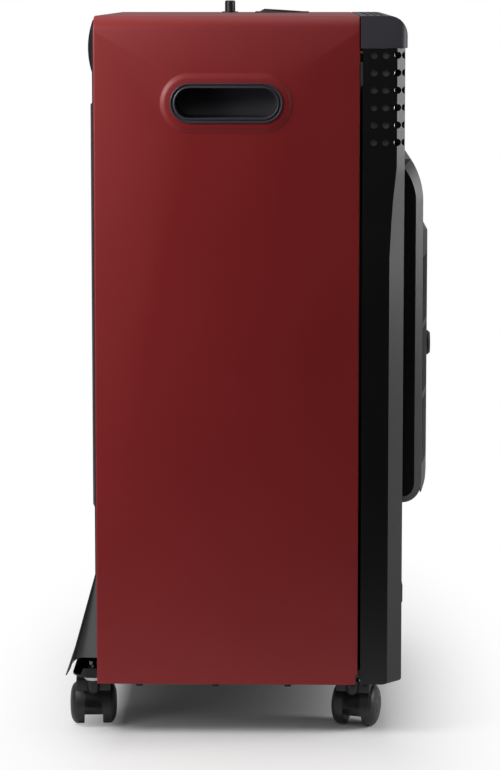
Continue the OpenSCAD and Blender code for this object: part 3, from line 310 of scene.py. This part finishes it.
def thickened(piece, thickness):
    """Gives a skin its sheet's thickness, inwards."""
    wall = piece.modifiers.new("sheet", "SOLIDIFY")
    wall.thickness, wall.offset = thickness, -1.0
    return piece


shell = bmesh.new()
block(shell, (-side_x, front_y, shell_foot), (side_x, rear_y, top_z))
round_off(shell, [e for e in shell.edges if all(v.co.z > top_z - 1 for v in e.verts)
                  and abs(e.verts[0].co.x - e.verts[1].co.x) < 1], bend_r, 9)
for plane in (front_y, rear_y):
    round_off(shell, [e for e in shell.edges if all(abs(v.co.y - plane) < 0.01 for v in e.verts)
                      and not all(v.co.z < shell_foot + 0.01 for v in e.verts)], roll_r, 4)
# the end faces become narrow returns that stop above the foot, and the bottom opens
ends = [f for f in shell.faces if abs(f.normal.y) > 0.99 and f.calc_area() > 100000]
bmesh.ops.inset_region(shell, faces=ends, thickness=return_w, use_even_offset=True)
bmesh.ops.delete(shell, geom=ends, context="FACES_ONLY")
bottom = [f for f in shell.faces if f.normal.z < -0.99 and f.calc_area() > 50000]
bmesh.ops.delete(shell, geom=bottom, context="FACES_ONLY")
cut_at(shell, (0, 0, return_foot), (0, 0, 1))
bmesh.ops.delete(shell, geom=[f for f in shell.faces if abs(f.normal.y) > 0.99
                              and f.calc_center_median().z < return_foot], context="FACES_ONLY")
# small notch at the foot of each front edge
cut_at(shell, (0, 0, notch_z), (0, 0, 1))
cut_at(shell, (0, notch_y, 0), (0, 1, 0))
bmesh.ops.delete(shell, geom=[f for f in shell.faces if f.calc_center_median().z < notch_z
                              and f.calc_center_median().y < notch_y], context="FACES_ONLY")
# one pressed border for each grip, as (growth, rise) from its foot in to the opening
border = ((9.5, 0.0), (8.8, 0.12), (7.9, 0.5), (6.8, 1.15), (5.7, 1.8), (4.6, 2.3), (3.4, 2.56),
          (2.2, 2.6), (0.0, 2.6), (-3.6, 2.6))
for side in (-1, 1):
    panel = [f for f in shell.faces if f.normal.x * side > 0.99]
    old = set(shell.verts)
    rings = slot_rings(shell, border, grip_l + border_w, grip_h + border_w)
    to_side(shell, [v for v in shell.verts if v not in old], side, grip_y, grip_z)
    outline = lift_out(shell, panel)
    bmesh.ops.triangle_fill(shell, edges=outline + loop_edges(shell, rings[0]), use_beauty=True,
                            normal=(side, 0, 0))
# and the two holes of the controls in the top
roof = [max(shell.faces, key=lambda f: f.calc_area() * (f.normal.z > 0.99))]
outline = lift_out(shell, roof)
holes = (ring_at(shell, control_x, knob_y, top_z, knob_hole_r)
         + ring_at(shell, control_x, button_y, top_z, button_hole_r))
bmesh.ops.triangle_fill(shell, edges=outline + holes, use_beauty=True, normal=(0, 0, 1))
bmesh.ops.delete(shell, geom=[v for v in shell.verts if not v.link_faces], context="VERTS")
turn_outward(shell, Vector((0, 0, 1)))
thickened(place_piece(shell, "folded_cabinet_shell", red_enamel, "root",
                      ["cabinet_shell"], 25.0), 0.0012)

# ---- Grip cups ----
# One moulded cup in each side: a rim of two ridges with a groove between them lies on the
# pressed border, round a pocket 36 mm deep.


def moulded(name, colour, roughness, grain, size):
    """Moulded plastic with a fine spark-eroded grain."""
    made = bpy.data.materials.new(name)
    made.use_nodes = True
    tree = made.node_tree
    shader = tree.nodes["Principled BSDF"]
    place = add(tree, "TexCoord").outputs["Object"]
    # uneven gloss and shade, about 40 mm across
    drift = add(tree, "TexNoise", inputs={"Vector": place, "Scale": 25.0, "Detail": 3.0})
    worn = tuple(min(1.0, c * 1.25 + 0.002) for c in colour[:3]) + (1.0,)
    shade = add(tree, "Mix", {"data_type": "RGBA"},
                {0: drift.outputs["Fac"], 6: colour, 7: worn})
    tree.links.new(shade.outputs[2], shader.inputs["Base Color"])
    pits = add(tree, "TexVoronoi", inputs={"Vector": place, "Scale": 1.0 / size})
    bump = add(tree, "Bump", inputs={"Strength": grain, "Distance": 0.0002,
                                     "Height": pits.outputs["Distance"]})
    tree.links.new(bump.outputs[0], shader.inputs["Normal"])
    rough = add(tree, "MapRange", inputs={"Value": drift.outputs["Fac"],
                                          "To Min": roughness - 0.05,
                                          "To Max": roughness + 0.05})
    tree.links.new(rough.outputs[0], shader.inputs["Roughness"])
    return made


# Moulded ABS with a satin face and a 0.9 mm grain: near black on the small parts, charcoal
# with a soft sheen on the cup's rim, and duller and paler in its pocket, where the paler colour
# is painted light standing in for the light that hardly reaches the pocket's floor
black_plastic = moulded("moulded_black_abs", linear("#0d0d11"), 0.42, 0.12, 0.0009)
cup_plastic = moulded("moulded_charcoal_abs", linear("#36343c"), 0.38, 0.12, 0.0009)
# the pocket's copy is paler than the rim's: painted light for the deep, dim pocket
pocket_painted_light_plastic = moulded("moulded_charcoal_abs_painted_pocket_light", linear("#3c3a42"), 0.55, 0.12, 0.0009)

# (growth, rise) from the back over the rim, which ends at pocket_ring, to the pocket's floor
cup_rings = ((1.8, -37.6), (1.8, 2.65), (4.6, 2.65), (4.9, 3.0), (4.9, 3.7), (4.6, 4.2),
             (4.1, 4.4), (3.6, 4.2), (3.1, 3.2), (2.2, 3.0), (1.6, 3.2), (1.2, 4.1), (0.7, 4.4),
             (0.2, 4.2), (0.0, 3.4), (0.0, -32.0), (-1.2, -35.0), (-4.0, -36.2))
pocket_ring = 14
for side, node in ((-1, "grip_cup_left"), (1, "grip_cup_right")):
    cup = bmesh.new()
    rings = slot_rings(cup, cup_rings, grip_l, grip_h)
    for end in (rings[0], rings[-1]):
        cup.faces.new(end)
    to_side(cup, cup.verts, side, grip_y, grip_z)
    bmesh.ops.recalc_face_normals(cup, faces=cup.faces)
    pocket = {v for ring in rings[pocket_ring:] for v in ring}
    for face in cup.faces:
        face.material_index = int(pocket.issuperset(face.verts))
    piece = place_piece(cup, "moulded_" + node, cup_plastic, "root", [node])
    # the pocket's faces take the paler copy, painted light in place of the light that hardly gets
    # in
    piece.data.materials.append(pocket_painted_light_plastic)

# ---- Metals and inner pieces ----
# Zinc-plated fasteners, galvanised sheet, and the brass, copper and cast aluminium of the gas
# train. These solids are right as they are and only take their finish.


def plated(name, colour, roughness, spangle, size):
    """Bare or plated metal with a crystal pattern in its gloss."""
    made = bpy.data.materials.new(name)
    made.use_nodes = True
    tree = made.node_tree
    shader = tree.nodes["Principled BSDF"]
    place = add(tree, "TexCoord").outputs["Object"]
    crystals = add(tree, "TexVoronoi", inputs={"Vector": place, "Scale": 1.0 / size})
    tone = add(tree, "SeparateColor", inputs={0: crystals.outputs["Color"]})
    dull = tuple(c * (1.0 - spangle) for c in colour[:3]) + (1.0,)
    shade = add(tree, "Mix", {"data_type": "RGBA"}, {0: tone.outputs[0], 6: dull, 7: colour})
    tree.links.new(shade.outputs[2], shader.inputs["Base Color"])
    rough = add(tree, "MapRange", inputs={"Value": tone.outputs[1], "To Min": roughness - 0.06,
                                          "To Max": roughness + 0.08})
    tree.links.new(rough.outputs[0], shader.inputs["Roughness"])
    # drawing and handling marks, about 1 mm across
    scratch = add(tree, "TexNoise", inputs={"Vector": place, "Scale": 900.0, "Detail": 2.0})
    bump = add(tree, "Bump", inputs={"Strength": 0.08, "Distance": 0.0001,
                                     "Height": scratch.outputs["Fac"]})
    tree.links.new(bump.outputs[0], shader.inputs["Normal"])
    shader.inputs["Metallic"].default_value = 1.0
    return made


# Plated and drawn metals are bright with a tight sheen; the galvanised sheet has a 9 mm
# spangle, and the casting is dull
zinc = plated("bright_zinc_plating", linear("#ccd1d6"), 0.24, 0.10, 0.002)
black_zinc = plated("black_passivated_zinc", linear("#2b2b2e"), 0.35, 0.10, 0.002)
galvanised = plated("galvanised_sheet", linear("#a9adb0"), 0.40, 0.22, 0.009)
brass = plated("turned_brass", linear("#c9a057"), 0.28, 0.08, 0.004)
copper = plated("drawn_copper_pipe", linear("#c07a54"), 0.34, 0.18, 0.012)
aluminium = plated("die_cast_aluminium", linear("#b9bab8"), 0.46, 0.12, 0.003)
steel = plated("drawn_steel", linear("#b0b2b5"), 0.30, 0.08, 0.003)


def dress(finish, *names):
    """Gives solids that are right as they are their real finish."""
    for name in names:
        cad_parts[name].data.materials[0] = finish


dress(black_zinc, "tray_screws")
dress(zinc, "caster_nuts", "caster_washers", "frame_screws", "pull_screws", "cover_pegs",
      "knob_spindle")
dress(galvanised, "bottle_guides", "burner_frame", "burner_plenums", "injector_rail",
      "frame_spacers", "valve_bracket")
dress(brass, "injectors", "pilot_burner", "hose_nozzle", "valve_plunger")
dress(copper, "burner_pipes", "pilot_pipe", "thermocouple")
dress(aluminium, "gas_valve")

# ---- Casters ----
# Twin-wheel swivel casters of black glass-filled nylon: a hood cast round the wheels with a
# boss for the stem, and two hollow-backed wheels on one steel axle.

# Glass-filled nylon: a dark, slightly dusty satin
nylon = moulded("glass_filled_nylon", linear("#141416"), 0.45, 0.10, 0.0008)
stem_x, stem_front, stem_rear = 180.0, -101.95, 161.05
trail, wheel_r, hood_r, arch_r = 17.0, 21.25, 23.3, 21.85
web_half, arch_half, arch_steps = 9.0, 17.5, 28
arch_from, arch_span = -17.0, 214.0
# each caster's mark, its stem's place and the angle that it has swung to
casters = (("fl", -stem_x, stem_front, -15.0), ("fr", stem_x, stem_front, 172.0),
           ("rl", -stem_x, stem_rear, 4.0), ("rr", stem_x, stem_rear, 187.0))


def spin_round(bm, outline, segments):
    """Turns an outline of (radius, height) points about Z into a closed skin."""
    verts = [bm.verts.new((r, 0.0, h)) for r, h in outline]
    edges = [bm.edges.new(pair) for pair in zip(verts, verts[1:])]
    bmesh.ops.spin(bm, geom=verts + edges, cent=(0, 0, 0), axis=(0, 0, 1), angle=2 * math.pi,
                   steps=segments, use_merge=True, use_duplicate=False)
    bmesh.ops.remove_doubles(bm, verts=bm.verts, dist=0.0005)


def arc_points(bm, radius, reach, angles):
    """Adds points round the axle on one side of the caster."""
    return [bm.verts.new((trail + radius * math.cos(a), -reach, wheel_r + radius * math.sin(a)))
            for a in map(math.radians, angles)]


def caster_hood(bm):
    """Hood about its stem at the origin, with the axle along Y at x = trail."""
    # web between the wheels and the arch over them, as slices of one barrel
    rising = [arch_from + i * arch_span / arch_steps for i in range(arch_steps + 1)]
    falling = [arch_from + arch_span - i * arch_span / arch_steps for i in range(arch_steps + 1)]
    for reach, inner in ((web_half, 0.0), (arch_half, arch_r)):
        outer = arc_points(bm, hood_r, reach, falling)
        back = arc_points(bm, inner, reach, rising) if inner else []
        face = bm.faces.new(outer + back)
        made = bmesh.ops.extrude_face_region(bm, geom=[face])["geom"]
        bmesh.ops.translate(bm, vec=(0, 2 * reach, 0),
                            verts=[v for v in made if isinstance(v, bmesh.types.BMVert)])
        if inner:
            axle = Vector((trail, wheel_r))
            rims = [e for e in bm.edges if all(abs(abs(v.co.y) - reach) < 0.01 for v in e.verts)
                    and all((v.co.xz - axle).length > hood_r - 0.1 for v in e.verts)
                    and abs(e.verts[0].co.y - e.verts[1].co.y) < 0.01]
            round_off(bm, rims, 0.5, 2)
    # head that carries the stem, and its round boss
    verts = block(bm, (0.0, -arch_half, wheel_r + 16), (trail + 2, arch_half, 49.5))
    edges = dict.fromkeys(e for v in verts for e in v.link_edges)
    round_off(bm, [e for e in edges if all(v.co.z > 49 for v in e.verts)
                   or all(v.co.x < 1 for v in e.verts)], 0.9, 3)
    spin_round(bm, [(0.0, 33.95), (2.4, 34.42), (4.4, 35.75), (5.75, 37.7), (6.25, 39.4),
                    (6.3, 40.3), (6.3, 48.9), (5.9, 49.5), (4.1, 49.5)], 32)


# wheel's outline as (radius, distance from its inner face): hollow back, tread, domed face, hub
wheel_line = [(2.1, 0.0), (6.5, 0.0), (7.0, 0.8), (14.5, 0.8), (15.0, 0.0), (20.5, 0.0),
              (21.0, 0.25), (21.25, 0.8), (21.25, 7.4), (21.0, 8.1), (20.2, 9.6), (18.6, 11.2),
              (16.2, 12.5), (12.9, 13.5), (9.0, 14.0), (8.4, 13.6), (8.0, 13.6), (7.4, 14.1),
              (3.5, 14.3), (0.0, 14.3)]
wheel_y = 9.5
for name, x, y, angle in casters:
    body = "caster_" + name
    swing = Matrix.Translation((x, y, 0)) @ Matrix.Rotation(math.radians(angle), 4, "Z")
    hood = bmesh.new()
    caster_hood(hood)
    bmesh.ops.recalc_face_normals(hood, faces=hood.faces)
    bmesh.ops.transform(hood, matrix=swing, verts=hood.verts)
    place_piece(hood, body + "_moulded_hood", nylon, body, [body + "_hood"])
    dress(steel, body + "_axle")
    for mark, side in (("a", -1), ("b", 1)):
        wheel = bmesh.new()
        spin_round(wheel, wheel_line, 56)
        bmesh.ops.recalc_face_normals(wheel, faces=wheel.faces)
        bmesh.ops.rotate(wheel, cent=(0, 0, 0), verts=wheel.verts,
                         matrix=Matrix.Rotation(-side * math.pi / 2, 3, "X"))
        bmesh.ops.translate(wheel, vec=(trail, side * wheel_y, wheel_r), verts=wheel.verts)
        bmesh.ops.transform(wheel, matrix=swing, verts=wheel.verts)
        place_piece(wheel, "wheel_%s_%s_moulded" % (name, mark), nylon,
                    "wheel_%s_%s" % (name, mark), ["%s_wheel_%s" % (body, mark)])

# ---- Front frame ----
# Folded from black-enamelled sheet like a shallow tray on edge. Its upright corners are pressed
# to a chamfer that widens below the punched rows of vents.

# Satin black powder coat, which shows its folds as thin grey lines
black_enamel = enamel("powder_coat_black", linear("#0a090a"), 0.36, 0.3)
frame_rear, face_y, frame_foot, frame_top = -108.95, -150.55, 54.0, 689.4
sheet_t, rim_w, end_return, foot_r = 1.2, 12.0, 18.0, 3.5
# the chamfer's width, and where it narrows on its way up to the vents, as (height, width)
chamfer = 14.7
chamfer_at = ((574.0, 8.0), (539.0, 11.6), (516.0, 13.1), (484.0, chamfer))
window_half, window_low, window_high = 168.0, 236.0, 567.0
vent_r, vent_top, vent_pitch, vent_columns, vent_half = 3.5, 682.7, 17.0, 12, 202.0
side_vent_first, side_vent_pitch = 7.5, 11.6

front = bmesh.new()
block(front, (-side_x, face_y, frame_foot), (side_x, frame_rear, frame_top))
round_off(front, [e for e in front.edges if all(v.co.y < face_y + 1 for v in e.verts)
                  and abs(e.verts[0].co.x - e.verts[1].co.x) < 1
                  and abs(e.verts[0].co.z - e.verts[1].co.z) > 100], chamfer, 1)
round_off(front, [e for e in front.edges
                  if all(v.co.z < frame_foot + 0.01 and v.co.y < frame_rear - 1
                         for v in e.verts)], foot_r, 4)
for level, width in chamfer_at:
    cut_at(front, (0, 0, level), (0, 0, 1))
for vert in front.verts:
    width = next((w for z, w in chamfer_at if vert.co.z > z - 0.01), chamfer)
    if abs(vert.co.x) > side_x - chamfer - 0.01 and vert.co.y < face_y + chamfer + 0.01:
        corner = Matrix.Translation((-math.copysign(side_x, vert.co.x), -face_y, 0))
        bmesh.ops.scale(front, vec=(width / chamfer, width / chamfer, 1.0), verts=[vert],
                        space=corner)
# the window behind the surround, and the open back inside narrow rims
for side in (-1, 1):
    cut_at(front, (side * window_half, 0, 0), (1, 0, 0))
    cut_at(front, (side * (side_x - rim_w), 0, 0), (1, 0, 0))
cut_at(front, (0, frame_rear - rim_w, 0), (0, 1, 0))
cut_at(front, (0, face_y + end_return, 0), (0, 1, 0))
for level in (window_low, window_high, frame_foot + rim_w, frame_top - rim_w):
    cut_at(front, (0, 0, level), (0, 0, 1))
open_up(front, (-window_half, face_y - 1, window_low), (window_half, face_y + 1, window_high))
open_up(front, (rim_w - side_x, frame_rear - 1, 0), (side_x - rim_w, frame_rear + 1, 800))
for level in (frame_foot, frame_top):
    open_up(front, (rim_w - side_x, face_y + end_return, level - 1),
            (side_x - rim_w, frame_rear + 1, level + 1))
bmesh.ops.delete(front, geom=[v for v in front.verts if not v.link_faces], context="VERTS")
turn_outward(front, Vector((0, -1, 0)))


def punch(bm, place, axis):
    """Adds the punch of one vent, turned about an axis."""
    bmesh.ops.create_cone(bm, cap_ends=True, segments=24, radius1=vent_r, radius2=vent_r,
                          depth=12.0, matrix=Matrix.Translation(place)
                          @ Matrix.Rotation(math.pi / 2, 4, axis))


face_pins, side_pins = bmesh.new(), bmesh.new()
for row in range(6):
    height = vent_top - vent_pitch * row
    for column in range(-vent_columns, vent_columns + 1):
        punch(face_pins, (column * vent_half / vent_columns, face_y + 1.5, height), "X")
    for column in range(3):
        for side in (-1, 1):
            punch(side_pins, (side * (side_x - 2),
                              face_y + side_vent_first + side_vent_pitch * column, height), "Y")


def punched(bm, thickness, *cutters):
    """Thickens a skin inwards, cuts other meshes out of it and returns what is left."""
    used = []
    for part in (bm, *cutters):
        data = bpy.data.meshes.new("blank")
        part.to_mesh(data)
        part.free()
        used.append(bpy.data.objects.new("blank", data))
        scene.collection.objects.link(used[-1])
    thickened(used[0], thickness)
    for tool in used[1:]:
        cut = used[0].modifiers.new("cut", "BOOLEAN")
        cut.operation, cut.solver, cut.object = "DIFFERENCE", "EXACT", tool
    left = bmesh.new()
    left.from_object(used[0], bpy.context.evaluated_depsgraph_get())
    for blank in used:
        bpy.data.objects.remove(blank)
    return left


def rolled(piece, width, angle=35.0):
    """Rounds the sharp edges of a piece, as pressing or moulding leaves them."""
    edge = piece.modifiers.new("rolled_edge", "BEVEL")
    edge.width, edge.segments, edge.limit_method = width / 1000, 2, "ANGLE"
    edge.angle_limit = math.radians(angle)
    edge.use_clamp_overlap = True
    edge.harden_normals = True
    return piece


front = punched(front, sheet_t, face_pins, side_pins)
rolled(place_piece(front, "folded_front_frame", black_enamel, "root",
                   ["front_frame"], 30.0), 0.5)


def softened(node, name, finish, body, width, angle=35.0):
    """Replaces a hard-edged solid by a copy whose edges are rounded."""
    copy = bmesh.new()
    copy.from_mesh(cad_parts[node].data)
    bmesh.ops.scale(copy, vec=(1000, 1000, 1000), verts=copy.verts)
    bmesh.ops.remove_doubles(copy, verts=copy.verts, dist=0.002)
    bmesh.ops.dissolve_limit(copy, angle_limit=math.radians(0.5), use_dissolve_boundaries=False,
                             verts=copy.verts, edges=copy.edges)
    return rolled(place_piece(copy, name, finish, body, [node], angle), width, angle)


# ---- Tray, heat shield and stems ----
# The folded tray and the bent shield stay behind the frame's chamfers, and the casters' stems
# end inside the bosses of the hoods.
corner_gap = 1.45
corner_reach = (side_x - face_y - chamfer - sheet_t - corner_gap) / 1000
boss_floor = 0.0358
for made in (softened("heat_shield", "bent_heat_shield", galvanised, "root", 0.2),
             softened("base_tray", "folded_base_tray", black_enamel, "root",
                      0.4)):
    for vert in made.data.vertices:
        vert.co.y = max(vert.co.y, abs(vert.co.x) - corner_reach)
stems = softened("caster_stems", "turned_caster_stems", zinc, "root", 0.3)
for vert in stems.data.vertices:
    vert.co.z = max(vert.co.z, boss_floor)

# ---- Top cap ----
# A dark grey moulding that closes the frame's upper end, with a rounded nose and slots that
# let the warm air out.

# Grained ABS, greyer and duller than the enamel below it
cap_plastic = moulded("moulded_grey_abs", linear("#3b3940"), 0.5, 0.2, 0.0012)
softened("top_cap", "moulded_top_cap", cap_plastic, "root", 1.0)

# ---- Burner surround ----
# One pressing of black-enamelled sheet that bulges forward, with a chamfer along its sides, a
# curved brow and an opening for the burner.
sur_y, sur_low, sur_high, sur_half, sur_chamfer = -170.55, 232.0, 579.0, 180.0, 7.5
brow_r, brow_h, brow_turn, chin_r, chin_h = 83.0, 42.0, 32, 19.0, 21.0
mouth_half, mouth_low, mouth_high = 142.0, 252.5, 493.0


def bulge_line(inset):
    """Side outline of the bulge, drawn in by an inset, from its top to its foot."""
    sweep = [math.radians(a) for a in range(brow_turn, -1, -2)]
    line = [(sur_y + inset + brow_r * (1 - math.cos(a)),
             sur_high - brow_h + (brow_h - inset) * math.sin(a) / math.sin(sweep[0]))
            for a in sweep]
    line += [(sur_y + chin_r - (chin_r - inset) * math.cos(a),
              sur_low + chin_h - (chin_h - inset) * math.sin(a))
             for a in map(math.radians, range(0, 91, 10))]
    back = face_y - 0.2
    return ([(back, line[0][1])] + [(min(y, back - 0.1), z) for y, z in line]
            + [(back, line[-1][1])])


surround = bmesh.new()
rings = [[surround.verts.new((x, y, z)) for y, z in bulge_line(inset)]
         for x, inset in ((-sur_half, sur_chamfer), (sur_chamfer - sur_half, 0.0),
                          (sur_half - sur_chamfer, 0.0), (sur_half, sur_chamfer))]
for one, two in zip(rings, rings[1:]):
    for i in range(len(one) - 1):
        surround.faces.new((one[i], one[i + 1], two[i + 1], two[i]))
surround.faces.new(rings[0])
surround.faces.new(list(reversed(rings[-1])))
for side in (-1, 1):
    cut_at(surround, (side * mouth_half, 0, 0), (1, 0, 0))
for level in (mouth_low, mouth_high):
    cut_at(surround, (0, 0, level), (0, 0, 1))
open_up(surround, (-mouth_half, sur_y - 30, mouth_low), (mouth_half, face_y - 5, mouth_high))
turn_outward(surround, Vector((0, -1, 0)))
bulge = place_piece(surround, "pressed_surround", black_enamel, "root",
                    ["front_surround"], 28.0)
rolled(thickened(bulge, 0.0015), 0.9, 30.0)

# ---- Guard and trim ----
# Bowed guard pressed from thin sheet and slotted in three bands, with a plain button in its
# dish, and a small plain plate low on the front.

# Heat-proof black enamel, a little browner and duller than the cabinet's
guard_enamel = enamel("powder_coat_warm_black", linear("#151312"), 0.4, 0.25)
softened("guard_grille", "slotted_guard", guard_enamel, "root", 0.5)
softened("guard_button", "plain_guard_button", black_plastic, "root", 0.5)
softened("lower_trim", "plain_trim_plate", black_plastic, "root", 0.8)

# ---- Controls ----
# A moulded bezel with a deep well for the knob, and the piezo igniter's push button behind it,
# both on the cabinet's top.
softened("control_bezel", "moulded_control_bezel", black_plastic, "root", 0.5)
softened("control_knob", "moulded_control_knob", black_plastic, "control_knob",
         0.6)
softened("igniter_button", "moulded_igniter_button", black_plastic, "igniter_button",
         0.4)
dress(black_plastic, "igniter_body")

# ---- Rear cover ----
# Pressed from black-enamelled sheet, bent out at the foot, where slanted cheeks close the ends
# of its flare, with a moulded pull at its top.

# Matt black powder coat, and a plain grey undercoat on the cheeks
cover_enamel = enamel("powder_coat_black_matt", linear("#232224"), 0.62, 0.3)
cheek_enamel = enamel("powder_coat_grey", linear("#5a595b"), 0.55, 0.2)
softened("rear_cover", "pressed_rear_cover", cover_enamel, "rear_cover", 0.5, 25.0)
# from the cover's knee down its slope to the lip, then in over the caster and up the cabinet
cheek_rim = ((205.8, 155.5, 163.0), (196.6, 180.9, 70.0), (197.6, 178.6, 73.5),
             (199.0, 174.6, 76.6), (200.8, 169.6, 78.0), (206.2, 153.4, 79.0),
             (206.2, 153.4, 155.0))
for side, hand in ((-1, "left"), (1, "right")):
    cheek = bmesh.new()
    skin = cheek.faces.new([cheek.verts.new((side * x, y, z)) for x, y, z in cheek_rim])
    made = bmesh.ops.extrude_face_region(cheek, geom=[skin])["geom"]
    bmesh.ops.translate(cheek, vec=(-sheet_t * side, 0, 0),
                        verts=[v for v in made if isinstance(v, bmesh.types.BMVert)])
    bmesh.ops.recalc_face_normals(cheek, faces=cheek.faces)
    place_piece(cheek, "cover_cheek_" + hand, cheek_enamel, "rear_cover")
softened("rear_pull", "moulded_rear_pull", black_plastic, "rear_cover", 0.7)

# ---- Burner ----
# Three columns of cordierite tiles pierced with fine flame holes, in a galvanised frame, and
# the electrode and lead of the igniter.

# Fired cordierite: chalky and pale, with its flame holes 2.5 mm apart painted as dark dots,
# painted shade in place of the holes' depth, drawn coarser than the real ones so that they show
tile_ceramic = bpy.data.materials.new("pierced_cordierite_tile")
tile_ceramic.use_nodes = True
tile_tree = tile_ceramic.node_tree
tile_shader = tile_tree.nodes["Principled BSDF"]
tile_place = add(tile_tree, "TexCoord").outputs["Object"]
tile_hole_cells = add(tile_tree, "TexVoronoi", inputs={"Vector": tile_place, "Scale": 400.0,
                                                  "Randomness": 0.0})
tile_hole_shade_mask = add(tile_tree, "MapRange", inputs={"Value": tile_hole_cells.outputs["Distance"],
                                               "From Min": 0.28, "From Max": 0.36})
# dark at each hole: painted shade standing in for the hole's depth
tile_shade = add(tile_tree, "Mix", {"data_type": "RGBA"},
                 {0: tile_hole_shade_mask.outputs[0], 6: linear("#5b4f45"), 7: linear("#d3c8b8")})
tile_tree.links.new(tile_shade.outputs[2], tile_shader.inputs["Base Color"])
tile_shader.inputs["Roughness"].default_value = 0.9
dress(tile_ceramic, "tiles_left", "tiles_centre", "tiles_right")
# Glazed alumina is glossy and ivory; the lead's silicone sleeve is a dull warm grey
electrode = moulded("glazed_alumina", linear("#e6e1d6"), 0.2, 0.02, 0.003)
silicone = moulded("silicone_sleeve", linear("#b5afa3"), 0.6, 0.05, 0.002)
dress(electrode, "spark_electrode")
dress(silicone, "igniter_lead")
